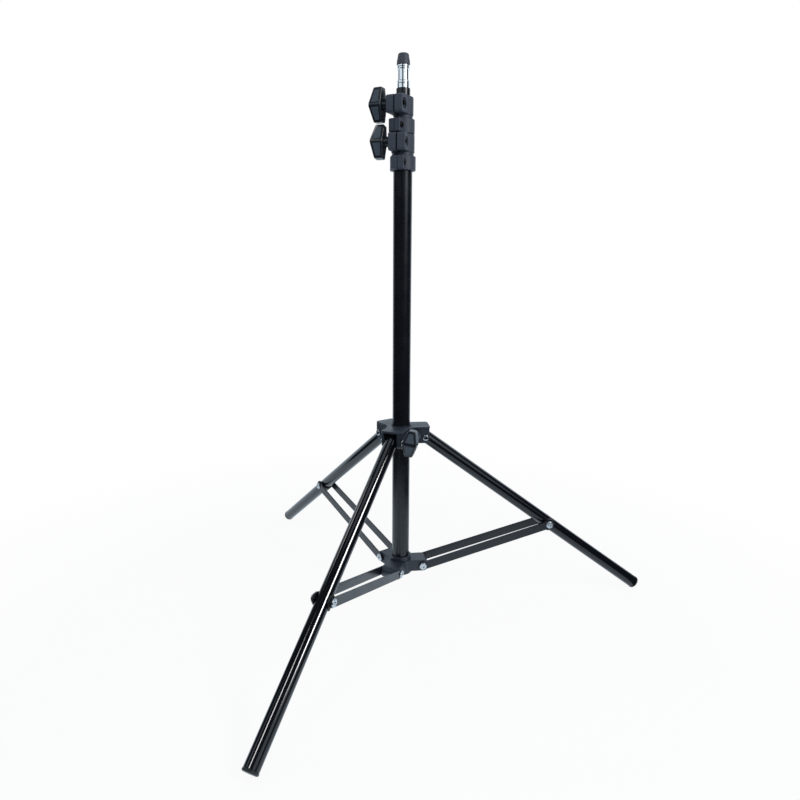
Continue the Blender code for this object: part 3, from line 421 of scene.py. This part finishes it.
def rod(radius, start, end, sides=48):
    """A plain round bar between two points, for drilling and joining."""
    start = Vector(start)
    end = Vector(end)
    shape = bmesh.new()
    bmesh.ops.create_cone(
        shape, cap_ends=True, segments=sides, radius1=radius, radius2=radius, depth=(end - start).length
    )
    turn = (end - start).to_track_quat("Z", "Y").to_matrix().to_4x4()
    shape.transform(Matrix.Translation((start + end) / 2) @ turn)
    return shape


def moved(shape, place):
    """A bmesh after a move."""
    shape.transform(place)
    return shape


def fitted(shape, others, operation):
    """A bmesh joined with others, or cut by them, one after another; the others are used up."""
    for other in others:
        pair = []
        for half in (shape, other):
            face_out(half)
            mesh = bpy.data.meshes.new("half")
            half.to_mesh(mesh)
            half.free()
            pair.append(bpy.data.objects.new("half", mesh))
            bpy.context.scene.collection.objects.link(pair[-1])
        step = pair[0].modifiers.new(operation, "BOOLEAN")
        step.operation = operation
        step.object = pair[1]
        bpy.context.view_layer.update()
        shape = bmesh.new()
        shape.from_object(pair[0], bpy.context.evaluated_depsgraph_get())
        for half in pair:
            bpy.data.objects.remove(half)
        bmesh.ops.remove_doubles(shape, verts=shape.verts[:], dist=0.0001)
        bmesh.ops.dissolve_degenerate(shape, edges=shape.edges[:], dist=0.0001)
    return shape


ALONG_X = Matrix(((0, 0, 1, 0), (1, 0, 0, 0), (0, 1, 0, 0), (0, 0, 0, 1)))  # an outline in y, z
ALONG_Y = Matrix.Rotation(math.pi / 2, 4, "X")  # an outline in x, z, its depth towards -y
Z_TO_X = Matrix.Rotation(math.pi / 2, 4, "Y")
Z_TO_Y = Matrix.Rotation(-math.pi / 2, 4, "X")
PAST = 10  # how far a drill runs past what it cuts
LEG_TURNS = [Matrix.Rotation(math.radians(azimuth), 4, "Z") for azimuth in (-90, 30, 150)]
LOWER_PIVOT_R = 32.2
LOWER_PIVOT_Z = 60.4
LOWER_LUG_R = 8.5
LOWER_LUG_HALF_WIDTH = 13.2
RIVET_HOLE_R = 3.0

# Glass-filled nylon, moulded and left matt: slate black, with a soft broad sheen. Its skin is
# grained at about 0.4 mm, drawn three times as coarse.
slate_nylon = surface("moulded_slate_nylon", "262b35", "2e343f", 0.46, grain=0.0012, relief=0.00003)
collar = spun(
    [
        (0, -12.4),
        (17.1, -12.4, 0.8),
        (17.1, 8.6, 0.8),
        (15.6, 8.6),
        (15.6, 14.6, 0.7),
        (0, 14.6),
    ]
)
lugs = []
drills = []
for turn in LEG_TURNS:
    end = LOWER_PIVOT_R + LOWER_LUG_R
    side = [(8, -LOWER_LUG_R), (end, -LOWER_LUG_R, 8.3), (end, LOWER_LUG_R, 8.3), (8, LOWER_LUG_R)]
    lugs.append(moved(block(side, -LOWER_LUG_HALF_WIDTH, LOWER_LUG_HALF_WIDTH, 0.9), turn @ ALONG_Y))
    drills.append(moved(rod(RIVET_HOLE_R, (LOWER_PIVOT_R, -30, 0), (LOWER_PIVOT_R, 30, 0)), turn))
drills.append(rod(12.8, (0, 0, -30), (0, 0, 30), 96))
collar = fitted(fitted(collar, lugs, "UNION"), drills, "DIFFERENCE")
LOWER = COLUMN @ Matrix.Translation((0, 0, LOWER_PIVOT_Z))
add_piece("lower_collar", collar, slate_nylon, "column", LOWER)

# Middle and top tubes with their guide bushes
# Two thinner tubes of the same drawn aluminium and enamel, one inside the other, each with a
# nylon bush pushed into its foot so that it slides without a rattle.
MIDDLE_FOOT = 70
TOP_FOOT = 80
TOP_TUBE_END = 717


def guide_bush(flange_r, plug_r, seat):
    """A bush whose flange lies under a tube's foot at the seat and whose plug is in the tube."""
    foot = seat - 3.8
    step = seat - 0.3
    end = seat + 5
    flange = [(0, foot), (flange_r, foot, 0.6), (flange_r, step, 0.2)]
    plug = [(plug_r, step), (plug_r, end, 0.6), (0, end)]
    return spun(flange + plug)


middle_tube = tube(10.8, 9.8, MIDDLE_FOOT, 681.2)
add_piece("middle_tube", middle_tube, column_enamel, "middle_section")
top_tube = tube(9, 8, TOP_FOOT, TOP_TUBE_END)
add_piece("top_tube", top_tube, column_enamel, "top_section")
middle_bush = guide_bush(11, 9.5, MIDDLE_FOOT)
add_piece("middle_guide_bush", middle_bush, black_nylon, "middle_section")
top_bush = guide_bush(9.5, 7.7, TOP_FOOT)
add_piece("top_guide_bush", top_bush, black_nylon, "top_section")

# Clamps
# Two nylon mouldings alike but for their bores. A sleeve is screwed tight on the end of the
# tube below; above a thin neck, a split body with two ears is squeezed onto the tube in it.
BOLT_AXIS_R = 19.5
BOLT_AXIS_Z = 33.3
BOLT_HOLE_R = 3.1
CLAMP_HEIGHT = 44.5
SLEEVE_TOP = 17.5
BODY_FOOT = 22
WALL = 4
EAR_END = 26
EAR_HALF_WIDTH = 11.5
RECESS_R = 6.1  # the nut's round recess
RECESS_FLOOR = 6.2  # its floor's distance from the middle of the slit
LUG_HALF_WIDTH = 8.5
SCREW_OUT = 4.9  # the sleeve's screw lies this far outside its bore
SCREW_SEAT = 7.3
SCREW_Z = 8.75
BASE_BORES = (12.8, 11.1)
TOP_BORES = (11.1, 9.3)
BASE_CLAMP = COLUMN @ Matrix.Translation((0, 0, 617.7)) @ Matrix.Rotation(math.radians(-85.5), 4, "Z")
TOP_CLAMP = COLUMN @ Matrix.Translation((0, 0, 662.5)) @ Matrix.Rotation(math.radians(-93.5), 4, "Z")


def clamp(lower_bore, upper_bore, lug_turn):
    """A clamp about Z, its foot at z = 0, its ears along +X, its sleeve's lug turned from them."""
    aside = Matrix.Rotation(lug_turn, 4, "Z")
    sleeve_r = lower_bore + WALL
    body_r = upper_bore + WALL
    neck_r = body_r - 1
    stack = spun(
        [
            (0, 0),
            (sleeve_r, 0, 0.7),
            (sleeve_r, SLEEVE_TOP, 0.7),
            (neck_r, SLEEVE_TOP),
            (neck_r, BODY_FOOT),
            (body_r, BODY_FOOT, 0.7),
            (body_r, CLAMP_HEIGHT, 1.7),
            (0, CLAMP_HEIGHT),
        ]
    )
    root = upper_bore / 2
    ears = [(root, 22.5), (EAR_END, 22.5, 3), (EAR_END, 44, 3), (root, 44)]
    ears = moved(block(ears, -EAR_HALF_WIDTH, EAR_HALF_WIDTH, 0.8), ALONG_Y)
    lug_end = lower_bore + 9.5
    lug = [(root, 0.4), (lug_end, 0.4, 1.6), (lug_end, 17.1, 1.6), (root, 17.1)]
    lug = moved(block(lug, -LUG_HALF_WIDTH, LUG_HALF_WIDTH, 0.8), aside @ ALONG_Y)
    solid = fitted(stack, [ears, lug], "UNION")
    shoulder = 19.0
    lower = [(0, -PAST), (lower_bore, -PAST), (lower_bore, shoulder)]
    upper = [(upper_bore, shoulder), (upper_bore, 60), (0, 60)]
    bore = spun(lower + upper)
    slit = block([(0, -1), (50, -1), (50, 1), (0, 1)], 20.5, 60)
    sleeve_slit = block([(0, -0.4), (50, -0.4), (50, 0.4), (0, 0.4)], -PAST, 18.1)
    screw_r = lower_bore + SCREW_OUT
    bolt_way = rod(BOLT_HOLE_R, (BOLT_AXIS_R, -30, BOLT_AXIS_Z), (BOLT_AXIS_R, 30, BOLT_AXIS_Z))
    nut_way = rod(
        RECESS_R, (BOLT_AXIS_R, RECESS_FLOOR, BOLT_AXIS_Z), (BOLT_AXIS_R, 30, BOLT_AXIS_Z), 64
    )
    screw_way = rod(2, (screw_r, -5, SCREW_Z), (screw_r, 30, SCREW_Z))
    head_way = rod(3.8, (screw_r, SCREW_SEAT, SCREW_Z), (screw_r, 30, SCREW_Z), 64)
    lug_ways = [moved(way, aside) for way in (sleeve_slit, screw_way, head_way)]
    return fitted(solid, [bore, slit, bolt_way, nut_way, *lug_ways], "DIFFERENCE")


# The clamps' nylon is a shade lighter and duller than the collars'.
clamp_nylon = surface("moulded_charcoal_nylon", "393e4a", "424753", 0.52, grain=0.0012, relief=0.00004)
LUG_TURNS = {"base": 0.0, "top": math.radians(-7)}
base_clamp = clamp(*BASE_BORES, LUG_TURNS["base"])
add_piece("base_clamp", base_clamp, clamp_nylon, "column", BASE_CLAMP)
top_clamp = clamp(*TOP_BORES, LUG_TURNS["top"])
add_piece("top_clamp", top_clamp, clamp_nylon, "middle_section", TOP_CLAMP)

# Clamp nuts and screws
# A blackened steel nut lies in each body's round recess, for the knob's bolt. A blackened
# cross-head screw draws each sleeve tight.

# Steel blackened in a hot salt bath: a dark metal with a dull glint on its edges.
# It also serves as painted shade, in the hollows of the upper rivets.
black_oxide_and_hollow_shade = surface(
    "black_oxide_steel_and_hollow_shade", "1d1d20", "2a2a2d", 0.36, grain=0.0008, relief=0.000006, metallic=0.85
)
NUT_CORNER_R = 5.77
NUT_HEIGHT = 4.2
NUT_SEAT = 6.5


def nut():
    """A hexagonal nut about Z on z = 0, its corners turned off by a cone."""
    body = bmesh.new()
    bmesh.ops.create_cone(
        body, cap_ends=True, segments=6, radius1=NUT_CORNER_R, radius2=NUT_CORNER_R, depth=NUT_HEIGHT
    )
    moved(body, Matrix.Translation((0, 0, NUT_HEIGHT / 2)) @ Matrix.Rotation(math.radians(30), 4, "Z"))
    turned_off = spun([(0, -1), (5.0, -1), (5.9, 0.6), (5.9, 3.6), (5.0, 5.2), (0, 5.2)], 48)
    body = fitted(body, [turned_off], "INTERSECT")
    return fitted(body, [rod(BOLT_HOLE_R, (0, 0, -PAST), (0, 0, PAST))], "DIFFERENCE")


def screw():
    """A cross-head screw about Z, its head on z = 0 and its shank below."""
    body = spun([(0, -12), (1.7, -12, 0.4), (1.7, 0.3), (3.5, 0.3), (3.5, 2.4, 1.0), (0, 2.4)], 48)
    arms = [block([(-2.1, -0.55), (2.1, -0.55), (2.1, 0.55), (-2.1, 0.55)], 1.1, PAST) for _ in range(2)]
    moved(arms[1], Matrix.Rotation(math.pi / 2, 4, "Z"))
    return fitted(body, arms, "DIFFERENCE")


for label, body, seat, bore in (
    ("base", "column", BASE_CLAMP, BASE_BORES[0]),
    ("top", "middle_section", TOP_CLAMP, TOP_BORES[0]),
):
    nut_seat = seat @ Matrix.Translation((BOLT_AXIS_R, NUT_SEAT, BOLT_AXIS_Z)) @ Z_TO_Y
    add_piece(f"{label}_clamp_nut", nut(), black_oxide_and_hollow_shade, body, nut_seat)
    lug_frame = seat @ Matrix.Rotation(LUG_TURNS[label], 4, "Z")
    screw_seat = lug_frame @ Matrix.Translation((bore + SCREW_OUT, SCREW_SEAT, SCREW_Z)) @ Z_TO_Y
    add_piece(f"{label}_clamp_screw", screw(), black_oxide_and_hollow_shade, body, screw_seat)

# Knobs and their bolts
# T-shaped knobs moulded in black nylon, on zinc-plated steel bolts. A knob is a bar with a
# narrow ridge round its middle, tapering to both ends, with sunk matt panels and a round hub.
KNOB_DEPTH = 17.3
KNOB_WIDTH = 19.5
KNOB_END_DEPTH = 11.9
KNOB_END_WIDTH = 10.5
RIDGE_HALF_HEIGHT = 1.6
KNOB_HUB_R = 6.5
KNOB_HUB_LENGTH = 6.2  # how far it stands out of the bar
BOLT_IN_KNOB = 8


def knob(length):
    """A knob: its inner face at x = 0, its hub towards -X, its bar along Z."""
    shape = bmesh.new()
    bmesh.ops.create_cube(shape, size=1)
    bmesh.ops.scale(shape, verts=shape.verts[:], vec=(KNOB_DEPTH, KNOB_WIDTH, length))
    bmesh.ops.translate(shape, verts=shape.verts[:], vec=(KNOB_DEPTH / 2, 0, 0))
    for height in (-RIDGE_HALF_HEIGHT, RIDGE_HALF_HEIGHT):
        whole = shape.verts[:] + shape.edges[:] + shape.faces[:]
        bmesh.ops.bisect_plane(shape, geom=whole, plane_co=(0, 0, height), plane_no=(0, 0, 1))
    for corner in shape.verts:
        if abs(corner.co.z) > RIDGE_HALF_HEIGHT + 0.4:
            corner.co.x = min(corner.co.x, KNOB_END_DEPTH)
            corner.co.y *= KNOB_END_WIDTH / KNOB_WIDTH
    face_out(shape)
    hull = [side for side in shape.edges if side.calc_face_angle() > math.radians(60)]
    bmesh.ops.bevel(shape, geom=hull, offset=1.6, segments=5, profile=0.5, affect="EDGES", material=-1)
    root = KNOB_HUB_LENGTH + 4
    hub = spun([(0, 0), (KNOB_HUB_R, 0, 0.6), (KNOB_HUB_R, root), (0, root)], 64)
    hub = moved(hub, Matrix.Translation((-KNOB_HUB_LENGTH, 0, 0)) @ Z_TO_X)
    way = rod(BOLT_HOLE_R, (-PAST, 0, 0), (BOLT_IN_KNOB + 0.3, 0, 0))
    shape = fitted(fitted(shape, [hub], "UNION"), [way], "DIFFERENCE")
    face_out(shape)
    panels = [face for face in shape.faces if face.calc_area() > 100 and face.normal.x > -0.5]
    bmesh.ops.inset_individual(shape, faces=panels, thickness=1.5, depth=-0.5, use_even_offset=True)
    # The panels take the second finish: their lighter blue-grey is painted sheen.
    for panel in panels:
        panel.material_index = 1
    ridge = []
    for side in shape.edges:
        heights = [end.co.z for end in side.verts]
        if heights[0] * heights[1] > 0 and all(abs(abs(z) - RIDGE_HALF_HEIGHT) < 0.01 for z in heights):
            ridge.append(side)
    bmesh.ops.bevel(shape, geom=ridge, offset=1.2, segments=3, profile=0.5, affect="EDGES", material=-1)
    return shape


BOLT_R = 2.8


def bolt(start, end):
    """A bolt along X, its tips chamfered."""
    near = [(0, start), (2.2, start), (BOLT_R, start + 0.6)]
    far = [(BOLT_R, end - 0.6), (2.2, end), (0, end)]
    return moved(spun(near + far, 48), Z_TO_X)


# Glossy black nylon, polished by the mould: darker than the matt mouldings, with clear
# highlights on its rims and a faint unevenness.
knob_nylon = surface("polished_black_nylon", "15181e", "1d2128", 0.2, grain=0.003, relief=0.000006)
# Zinc-plated steel, passivated clear: a light grey metal, slightly blue, a little cloudy.
zinc = surface(
    "clear_zinc_plate",
    "b4b9bd",
    "cfd2d4",
    0.26,
    grain=0.0006,
    relief=0.000004,
    metallic=1.0,
    patch=0.004,
)
# The panels' grain is etched into the mould, so they stay matt; their lighter blue-grey is painted sheen.
panel_nylon_painted_sheen = surface("etched_black_nylon_painted_sheen", "3a454f", "46525d", 0.5, grain=0.0012, relief=0.00002)
KNOB_STANDOFF = 18
BOLT_TIP = -8.8  # it ends inside the nut
for label, seat, turn in (("base", BASE_CLAMP, 8.5), ("top", TOP_CLAMP, 0)):
    axis = seat @ Matrix.Translation((BOLT_AXIS_R, 0, BOLT_AXIS_Z)) @ Matrix.Rotation(-math.pi / 2, 4, "Z")
    axis = axis @ Matrix.Rotation(math.radians(turn), 4, "X")
    outer = axis @ Matrix.Translation((KNOB_STANDOFF, 0, 0))
    add_piece(f"{label}_knob", knob(42), knob_nylon, f"{label}_knob", outer, panel_nylon_painted_sheen)
    shank = bolt(BOLT_TIP, KNOB_STANDOFF + BOLT_IN_KNOB)
    add_piece(f"{label}_knob_bolt", shank, zinc, f"{label}_knob", axis)

# Spigot
# A turned steel stud, bright nickel plated, pressed into the top tube: two full-width bands
# with a waist between them, tool-marked rings, and a threaded end under the cap.

# Nickel plate over turned steel: a near-white mirror that the turning marks, about 0.3 mm
# apart, smear up and down.
nickel = surface(
    "bright_nickel_plate",
    "dcddde",
    "e9e9e8",
    0.16,
    grain=0.0005,
    relief=0.000002,
    metallic=1.0,
    patch=0.006,
    spread=0.04,
)
STUD_R = 7.94
WAIST_R = 7.0
RING_R = 7.5
THREAD_R = 3.1
stud = spun(
    [
        (0, -25),
        (7.7, -25, 0.6),
        (7.7, 0.3),
        (STUD_R, 0.3, 0.15),
        (STUD_R, 5.3),
        (RING_R, 5.7),
        (STUD_R, 6.1),
        (STUD_R, 8.5),
        (WAIST_R, 9.3),
        (WAIST_R, 22.3),
        (STUD_R, 23.1),
        (STUD_R, 24.6),
        (RING_R, 25.0),
        (STUD_R, 25.4),
        (STUD_R, 27.5, 0.6),
        (THREAD_R, 27.5),
        (THREAD_R, 35.9),
        (2.5, 36.5),
        (0, 36.5),
    ]
)
SPIGOT = COLUMN @ Matrix.Translation((0, 0, TOP_TUBE_END))
add_piece("spigot", stud, nickel, "top_section", SPIGOT)

# Stud cap
# A moulded plastic cap pushed over the stud's thread: a truncated cone with a rounded top
# and a shallow step round it.
cap = spun(
    [
        (0, 9.3),
        (3.4, 9.3),
        (3.4, 0),
        (8.5, 0, 0.4),
        (8.2, 5.4, 0.3),
        (7.8, 5.9, 0.3),
        (6.7, 13.3, 1.8),
        (0, 13.3),
    ]
)
CAP = COLUMN @ Matrix.Translation((0, 0, 744.8))
add_piece("stud_cap", cap, clamp_nylon, "stud_cap", CAP)

# Leg collar
# The sliding nylon moulding that the legs hinge on: a three-armed plate with a low ring, a
# hub, two cheeks under each arm that hold a leg, and a boss beside the hub. The hub is split
# there, so that the lock's bolt can pinch it on the tube.
COLLAR_Z = 258
PIVOT_R = 33.5279
ARM_END = 40.128
THIN_SIDE = 14.0
THICK_SIDE = 17.3
CHEEK_IN = 9.6
CHEEK_END = 39.128
PLATE_FOOT = 13
PLATE_TOP = 16
COLLAR = COLUMN @ Matrix.Translation((0, 0, COLLAR_Z))
WING_STANDOFF = 44.022
BOSS_END = 37.52
WING = Matrix.Rotation(math.radians(-80), 4, "Z") @ Matrix.Translation((0, 25.3, 5))


def star_plate():
    """The plate, its arms outlined in turn round the column."""
    corners = []
    notch = (THIN_SIDE - THICK_SIDE * math.cos(math.pi / 3)) / math.sin(math.pi / 3)
    arm = ((ARM_END, -THIN_SIDE, 5), (ARM_END, THICK_SIDE, 5), (notch, THICK_SIDE, 8))
    for turn in LEG_TURNS:
        for x, y, radius in arm:
            point = turn @ Vector((x, y, 0))
            corners.append((point.x, point.y, radius))
    return block(corners, PLATE_FOOT, PLATE_TOP, 0.8)


parts = [rod(17, (0, 0, -9), (0, 0, 14.5), 96), rod(14, (0, 0, 14), (0, 0, 17.2), 96)]
drills = []
for turn in LEG_TURNS:
    side = [(8.5, -8.3), (CHEEK_END, -8.3, 5.4), (CHEEK_END, 14.3), (8.5, 14.3)]
    for inner, outer in ((CHEEK_IN, THIN_SIDE - 1), (1 - THICK_SIDE, -CHEEK_IN)):
        parts.append(moved(block(side, inner, outer, 1.2, steps=4), turn @ ALONG_Y))
    drills.append(moved(rod(RIVET_HOLE_R, (PIVOT_R, -30, 0), (PIVOT_R, 30, 0)), turn))
parts.append(moved(block([(4.6, -12.65), (14, -12.65), (14, 0), (4.6, 0)], -5.9, 5.9), WING))
parts.append(moved(spun([(0, 4.5), (6, 4.5), (6, BOSS_END, 0.8), (0, BOSS_END)], 64), WING @ Z_TO_X))
drills.append(rod(12.9, (0, 0, -40), (0, 0, 40), 96))
drills.append(moved(rod(BOLT_HOLE_R, (0, 0, 0), (60, 0, 0)), WING))
drills.append(moved(block([(7.5, -18.85), (9, -18.85), (9, 16), (7.5, 16)], -24, 8.3), WING))
leg_collar = fitted(fitted(star_plate(), parts, "UNION"), drills, "DIFFERENCE")
add_piece("leg_collar", leg_collar, slate_nylon, "leg_collar", COLLAR)

# Lock of the leg collar
# A third knob of the same nylon, a little shorter than those of the clamps, on a long
# zinc-plated bolt that runs through the boss and across the hub's slit.
wing_axis = COLLAR @ WING @ Matrix.Rotation(math.radians(-8), 4, "X")
wing_seat = wing_axis @ Matrix.Translation((WING_STANDOFF, 0, 0))
add_piece("wing_knob", knob(36.5), knob_nylon, "collar_knob", wing_seat, panel_nylon_painted_sheen)
wing_bolt = bolt(3.2, WING_STANDOFF + BOLT_IN_KNOB)
add_piece("wing_bolt", wing_bolt, zinc, "collar_knob", wing_axis)

# Legs
# Three steel tubes, 18 mm across, in the same black enamel but glossier, drilled across for
# their pivot and for the pin of the brace. A moulded cap closes each foot.
LEG_LENGTH = 422
FOOT_SEAT = LEG_LENGTH - 3
BRACE_POINT = 236.8
LEG_DROP = math.radians(36.5184)
LEG_R = 9

# The same black enamel on a smoother ground: nearly a black mirror, in which lamps show as thin
# sharp lines.
leg_enamel = surface(
    "black_gloss_enamel_on_steel", "080b10", "0b0e14", 0.11, grain=0.006, relief=0.000002, spread=0.03
)
legs = []
for number, turn in enumerate(LEG_TURNS, start=1):
    place = COLLAR @ turn @ Matrix.Translation((PIVOT_R, 0, 0)) @ Matrix.Rotation(LEG_DROP, 4, "Y")
    legs.append(place)
    leg = moved(tube(LEG_R, 7.9, -LEG_R, FOOT_SEAT - 0.3), Z_TO_X)
    drills = [rod(RIVET_HOLE_R, (x, -20, 0), (x, 20, 0)) for x in (0, BRACE_POINT)]
    leg = fitted(leg, drills, "DIFFERENCE")
    leg = add_piece(f"leg_tube_{number}", leg, leg_enamel, f"leg_{number}", place)
    if number == 1:
        front_leg_only.objects.link(leg)
    foot = spun(
        [
            (0, FOOT_SEAT - 20),
            (7.6, FOOT_SEAT - 20, 0.8),
            (7.6, FOOT_SEAT),
            (9.3, FOOT_SEAT, 0.3),
            (9.3, LEG_LENGTH, 1.5),
            (0, LEG_LENGTH),
        ]
    )
    foot = moved(foot, Z_TO_X)
    add_piece(f"leg_foot_{number}", foot, black_nylon, f"leg_{number}", place)

# Saddles
# A moulded nylon trough under each leg with two round ears, held by a steel pin through the
# leg, so that the brace's bars don't rub the enamel.
SADDLE_R = 11.2
SADDLE_BORE_R = 9.3
SADDLE_HALF = 8
RIVET_R = 2.7
for number, place in enumerate(legs, start=1):
    ring = [(SADDLE_BORE_R, -SADDLE_HALF), (SADDLE_R, -SADDLE_HALF)]
    ring += [(SADDLE_R, SADDLE_HALF), (SADDLE_BORE_R, SADDLE_HALF)]
    trough = moved(spun(ring, closed=True), Z_TO_X)
    upper = block([(-20, 0), (20, 0), (20, 20), (-20, 20)], -20, 20)
    trough = fitted(trough, [moved(upper, ALONG_X)], "DIFFERENCE")
    ear = [(-SADDLE_HALF, -0.01), (SADDLE_HALF, -0.01), (SADDLE_HALF, 8), (-SADDLE_HALF, 8)]
    ears = [moved(block(ear, low, low + 1.9), ALONG_Y) for low in (-SADDLE_R, SADDLE_BORE_R)]
    trough = fitted(trough, ears, "UNION")
    ends = [(-SADDLE_HALF, -20), (SADDLE_HALF, -20), (SADDLE_HALF, 8, 7.8), (-SADDLE_HALF, 8, 7.8)]
    trough = fitted(trough, [moved(block(ends, -20, 20), ALONG_Y)], "INTERSECT")
    trough = fitted(trough, [rod(RIVET_HOLE_R, (0, -20, 0), (0, 20, 0))], "DIFFERENCE")
    at_brace = place @ Matrix.Translation((BRACE_POINT, 0, 0))
    add_piece(f"leg_saddle_{number}", trough, black_nylon, f"leg_{number}", at_brace)
    pin = spun([(0, -SADDLE_R), (RIVET_R, -SADDLE_R, 0.3), (RIVET_R, SADDLE_R, 0.3), (0, SADDLE_R)], 48)
    pin = moved(pin, Z_TO_Y)
    add_piece(f"saddle_pin_{number}", pin, zinc, f"leg_{number}", at_brace)

# Pivot rivets
# Zinc-plated tubular rivets through the arms of both collars. Their ends are rolled over to a round
# # rim with a hollow in the middle, which in the upper ones is painted dark, as painted shade.
HOLLOW_R = 1.9


def rivet(low_seat, high_seat, head_r):
    """A rivet along Y with a rolled head outside -low_seat and another outside +high_seat."""

    def half(seat):
        face = seat + 1.6
        hollow = [(HOLLOW_R, face, 0.4), (1.7, face - 1.3), (0, face - 1.3)]
        return [(RIVET_R, seat), (head_r, seat, 0.4), (head_r - 0.3, face, 1.0), *hollow]

    low_half = [(point[0], -point[1], *point[2:]) for point in reversed(half(low_seat))]
    shape = spun(low_half + half(high_seat), 64)
    # The hollow's faces take the second finish, which is painted shade where one is given.
    for face in shape.faces:
        if face.calc_center_median().xy.length < HOLLOW_R - 0.04:
            face.material_index = 1
    return moved(shape, Z_TO_Y)


for number, turn in enumerate(LEG_TURNS, start=1):
    at_arm = COLLAR @ turn @ Matrix.Translation((PIVOT_R, 0, 0))
    upper = rivet(13.3, 16.6, 4.5)
    # The upper rivets' hollows are painted dark with the blackened steel, as painted shade.
    add_piece(f"upper_rivet_{number}", upper, zinc, "leg_collar", at_arm, black_oxide_and_hollow_shade)
    at_lug = LOWER @ turn @ Matrix.Translation((LOWER_PIVOT_R, 0, 0))
    lower = rivet(15.65, 15.65, 5.5)
    add_piece(f"lower_rivet_{number}", lower, zinc, "column", at_lug)

# Braces
# Two flat steel bars to a leg, black enamelled, riveted outside the lower collar's lug and
# outside the leg's saddle. They lean in a little towards the leg.
BRACE_LENGTH = 199.8438
BAR_LENGTH = 199.8543
BRACE_CLIMB = math.radians(16.4779)
BAR_LEAN = math.radians(0.5877)
BAR_R = 6.25  # half the bar's width, round both holes
BAR_THICKNESS = 1.8
BAR_SEATS = (13.55, 11.5)  # a bar's inner face from the middle plane, at its foot and at its head

# The same enamel, thinner and satin on rolled strip, so that it takes a broad soft sheen.
strip_enamel = surface(
    "black_satin_enamel_on_strip", "10141a", "171c24", 0.27, grain=0.0015, relief=0.000006
)


def bar():
    """A flat bar along X from its lower hole, its inner face at y = 0."""
    end = BAR_LENGTH + BAR_R
    corners = [(-BAR_R, -BAR_R, 6.1), (end, -BAR_R, 6.1), (end, BAR_R, 6.1), (-BAR_R, BAR_R, 6.1)]
    body = moved(block(corners, -BAR_THICKNESS, 0, 0.35, steps=2), ALONG_Y)
    holes = [rod(RIVET_HOLE_R, (x, -PAST, 0), (x, PAST, 0)) for x in (0, BAR_LENGTH)]
    return fitted(body, holes, "DIFFERENCE")


def rivet_head():
    """The rivet at a bar's upper end, along Y, its shank from the bar's inner face at y = 0."""
    rim = [(0, 0), (RIVET_R, 0), (RIVET_R, 2.1), (5.5, 2.1, 0.4), (5.2, 3.7, 1.0)]
    hollow = [(HOLLOW_R, 3.7, 0.4), (1.7, 2.6), (0, 2.6)]
    return moved(spun(rim + hollow, 64), Z_TO_Y)


for number, turn in enumerate(LEG_TURNS, start=1):
    pivot = LOWER @ turn @ Matrix.Translation((LOWER_PIVOT_R, 0, 0))
    brace = pivot @ Matrix.Rotation(-BRACE_CLIMB, 4, "Y")
    for letter, side, flip in (("a", 1, 0), ("b", -1, math.pi)):
        lean = Matrix.Rotation(-side * BAR_LEAN, 4, "Z") @ Matrix.Rotation(flip, 4, "X")
        foot = brace @ Matrix.Translation((0, side * BAR_SEATS[0], 0)) @ lean
        head = brace @ Matrix.Translation((BRACE_LENGTH, side * BAR_SEATS[1], 0)) @ lean
        body = f"brace_{number}"
        add_piece(f"brace_bar_{number}{letter}", bar(), strip_enamel, body, foot)
        add_piece(f"brace_rivet_{number}{letter}", rivet_head(), zinc, body, head)
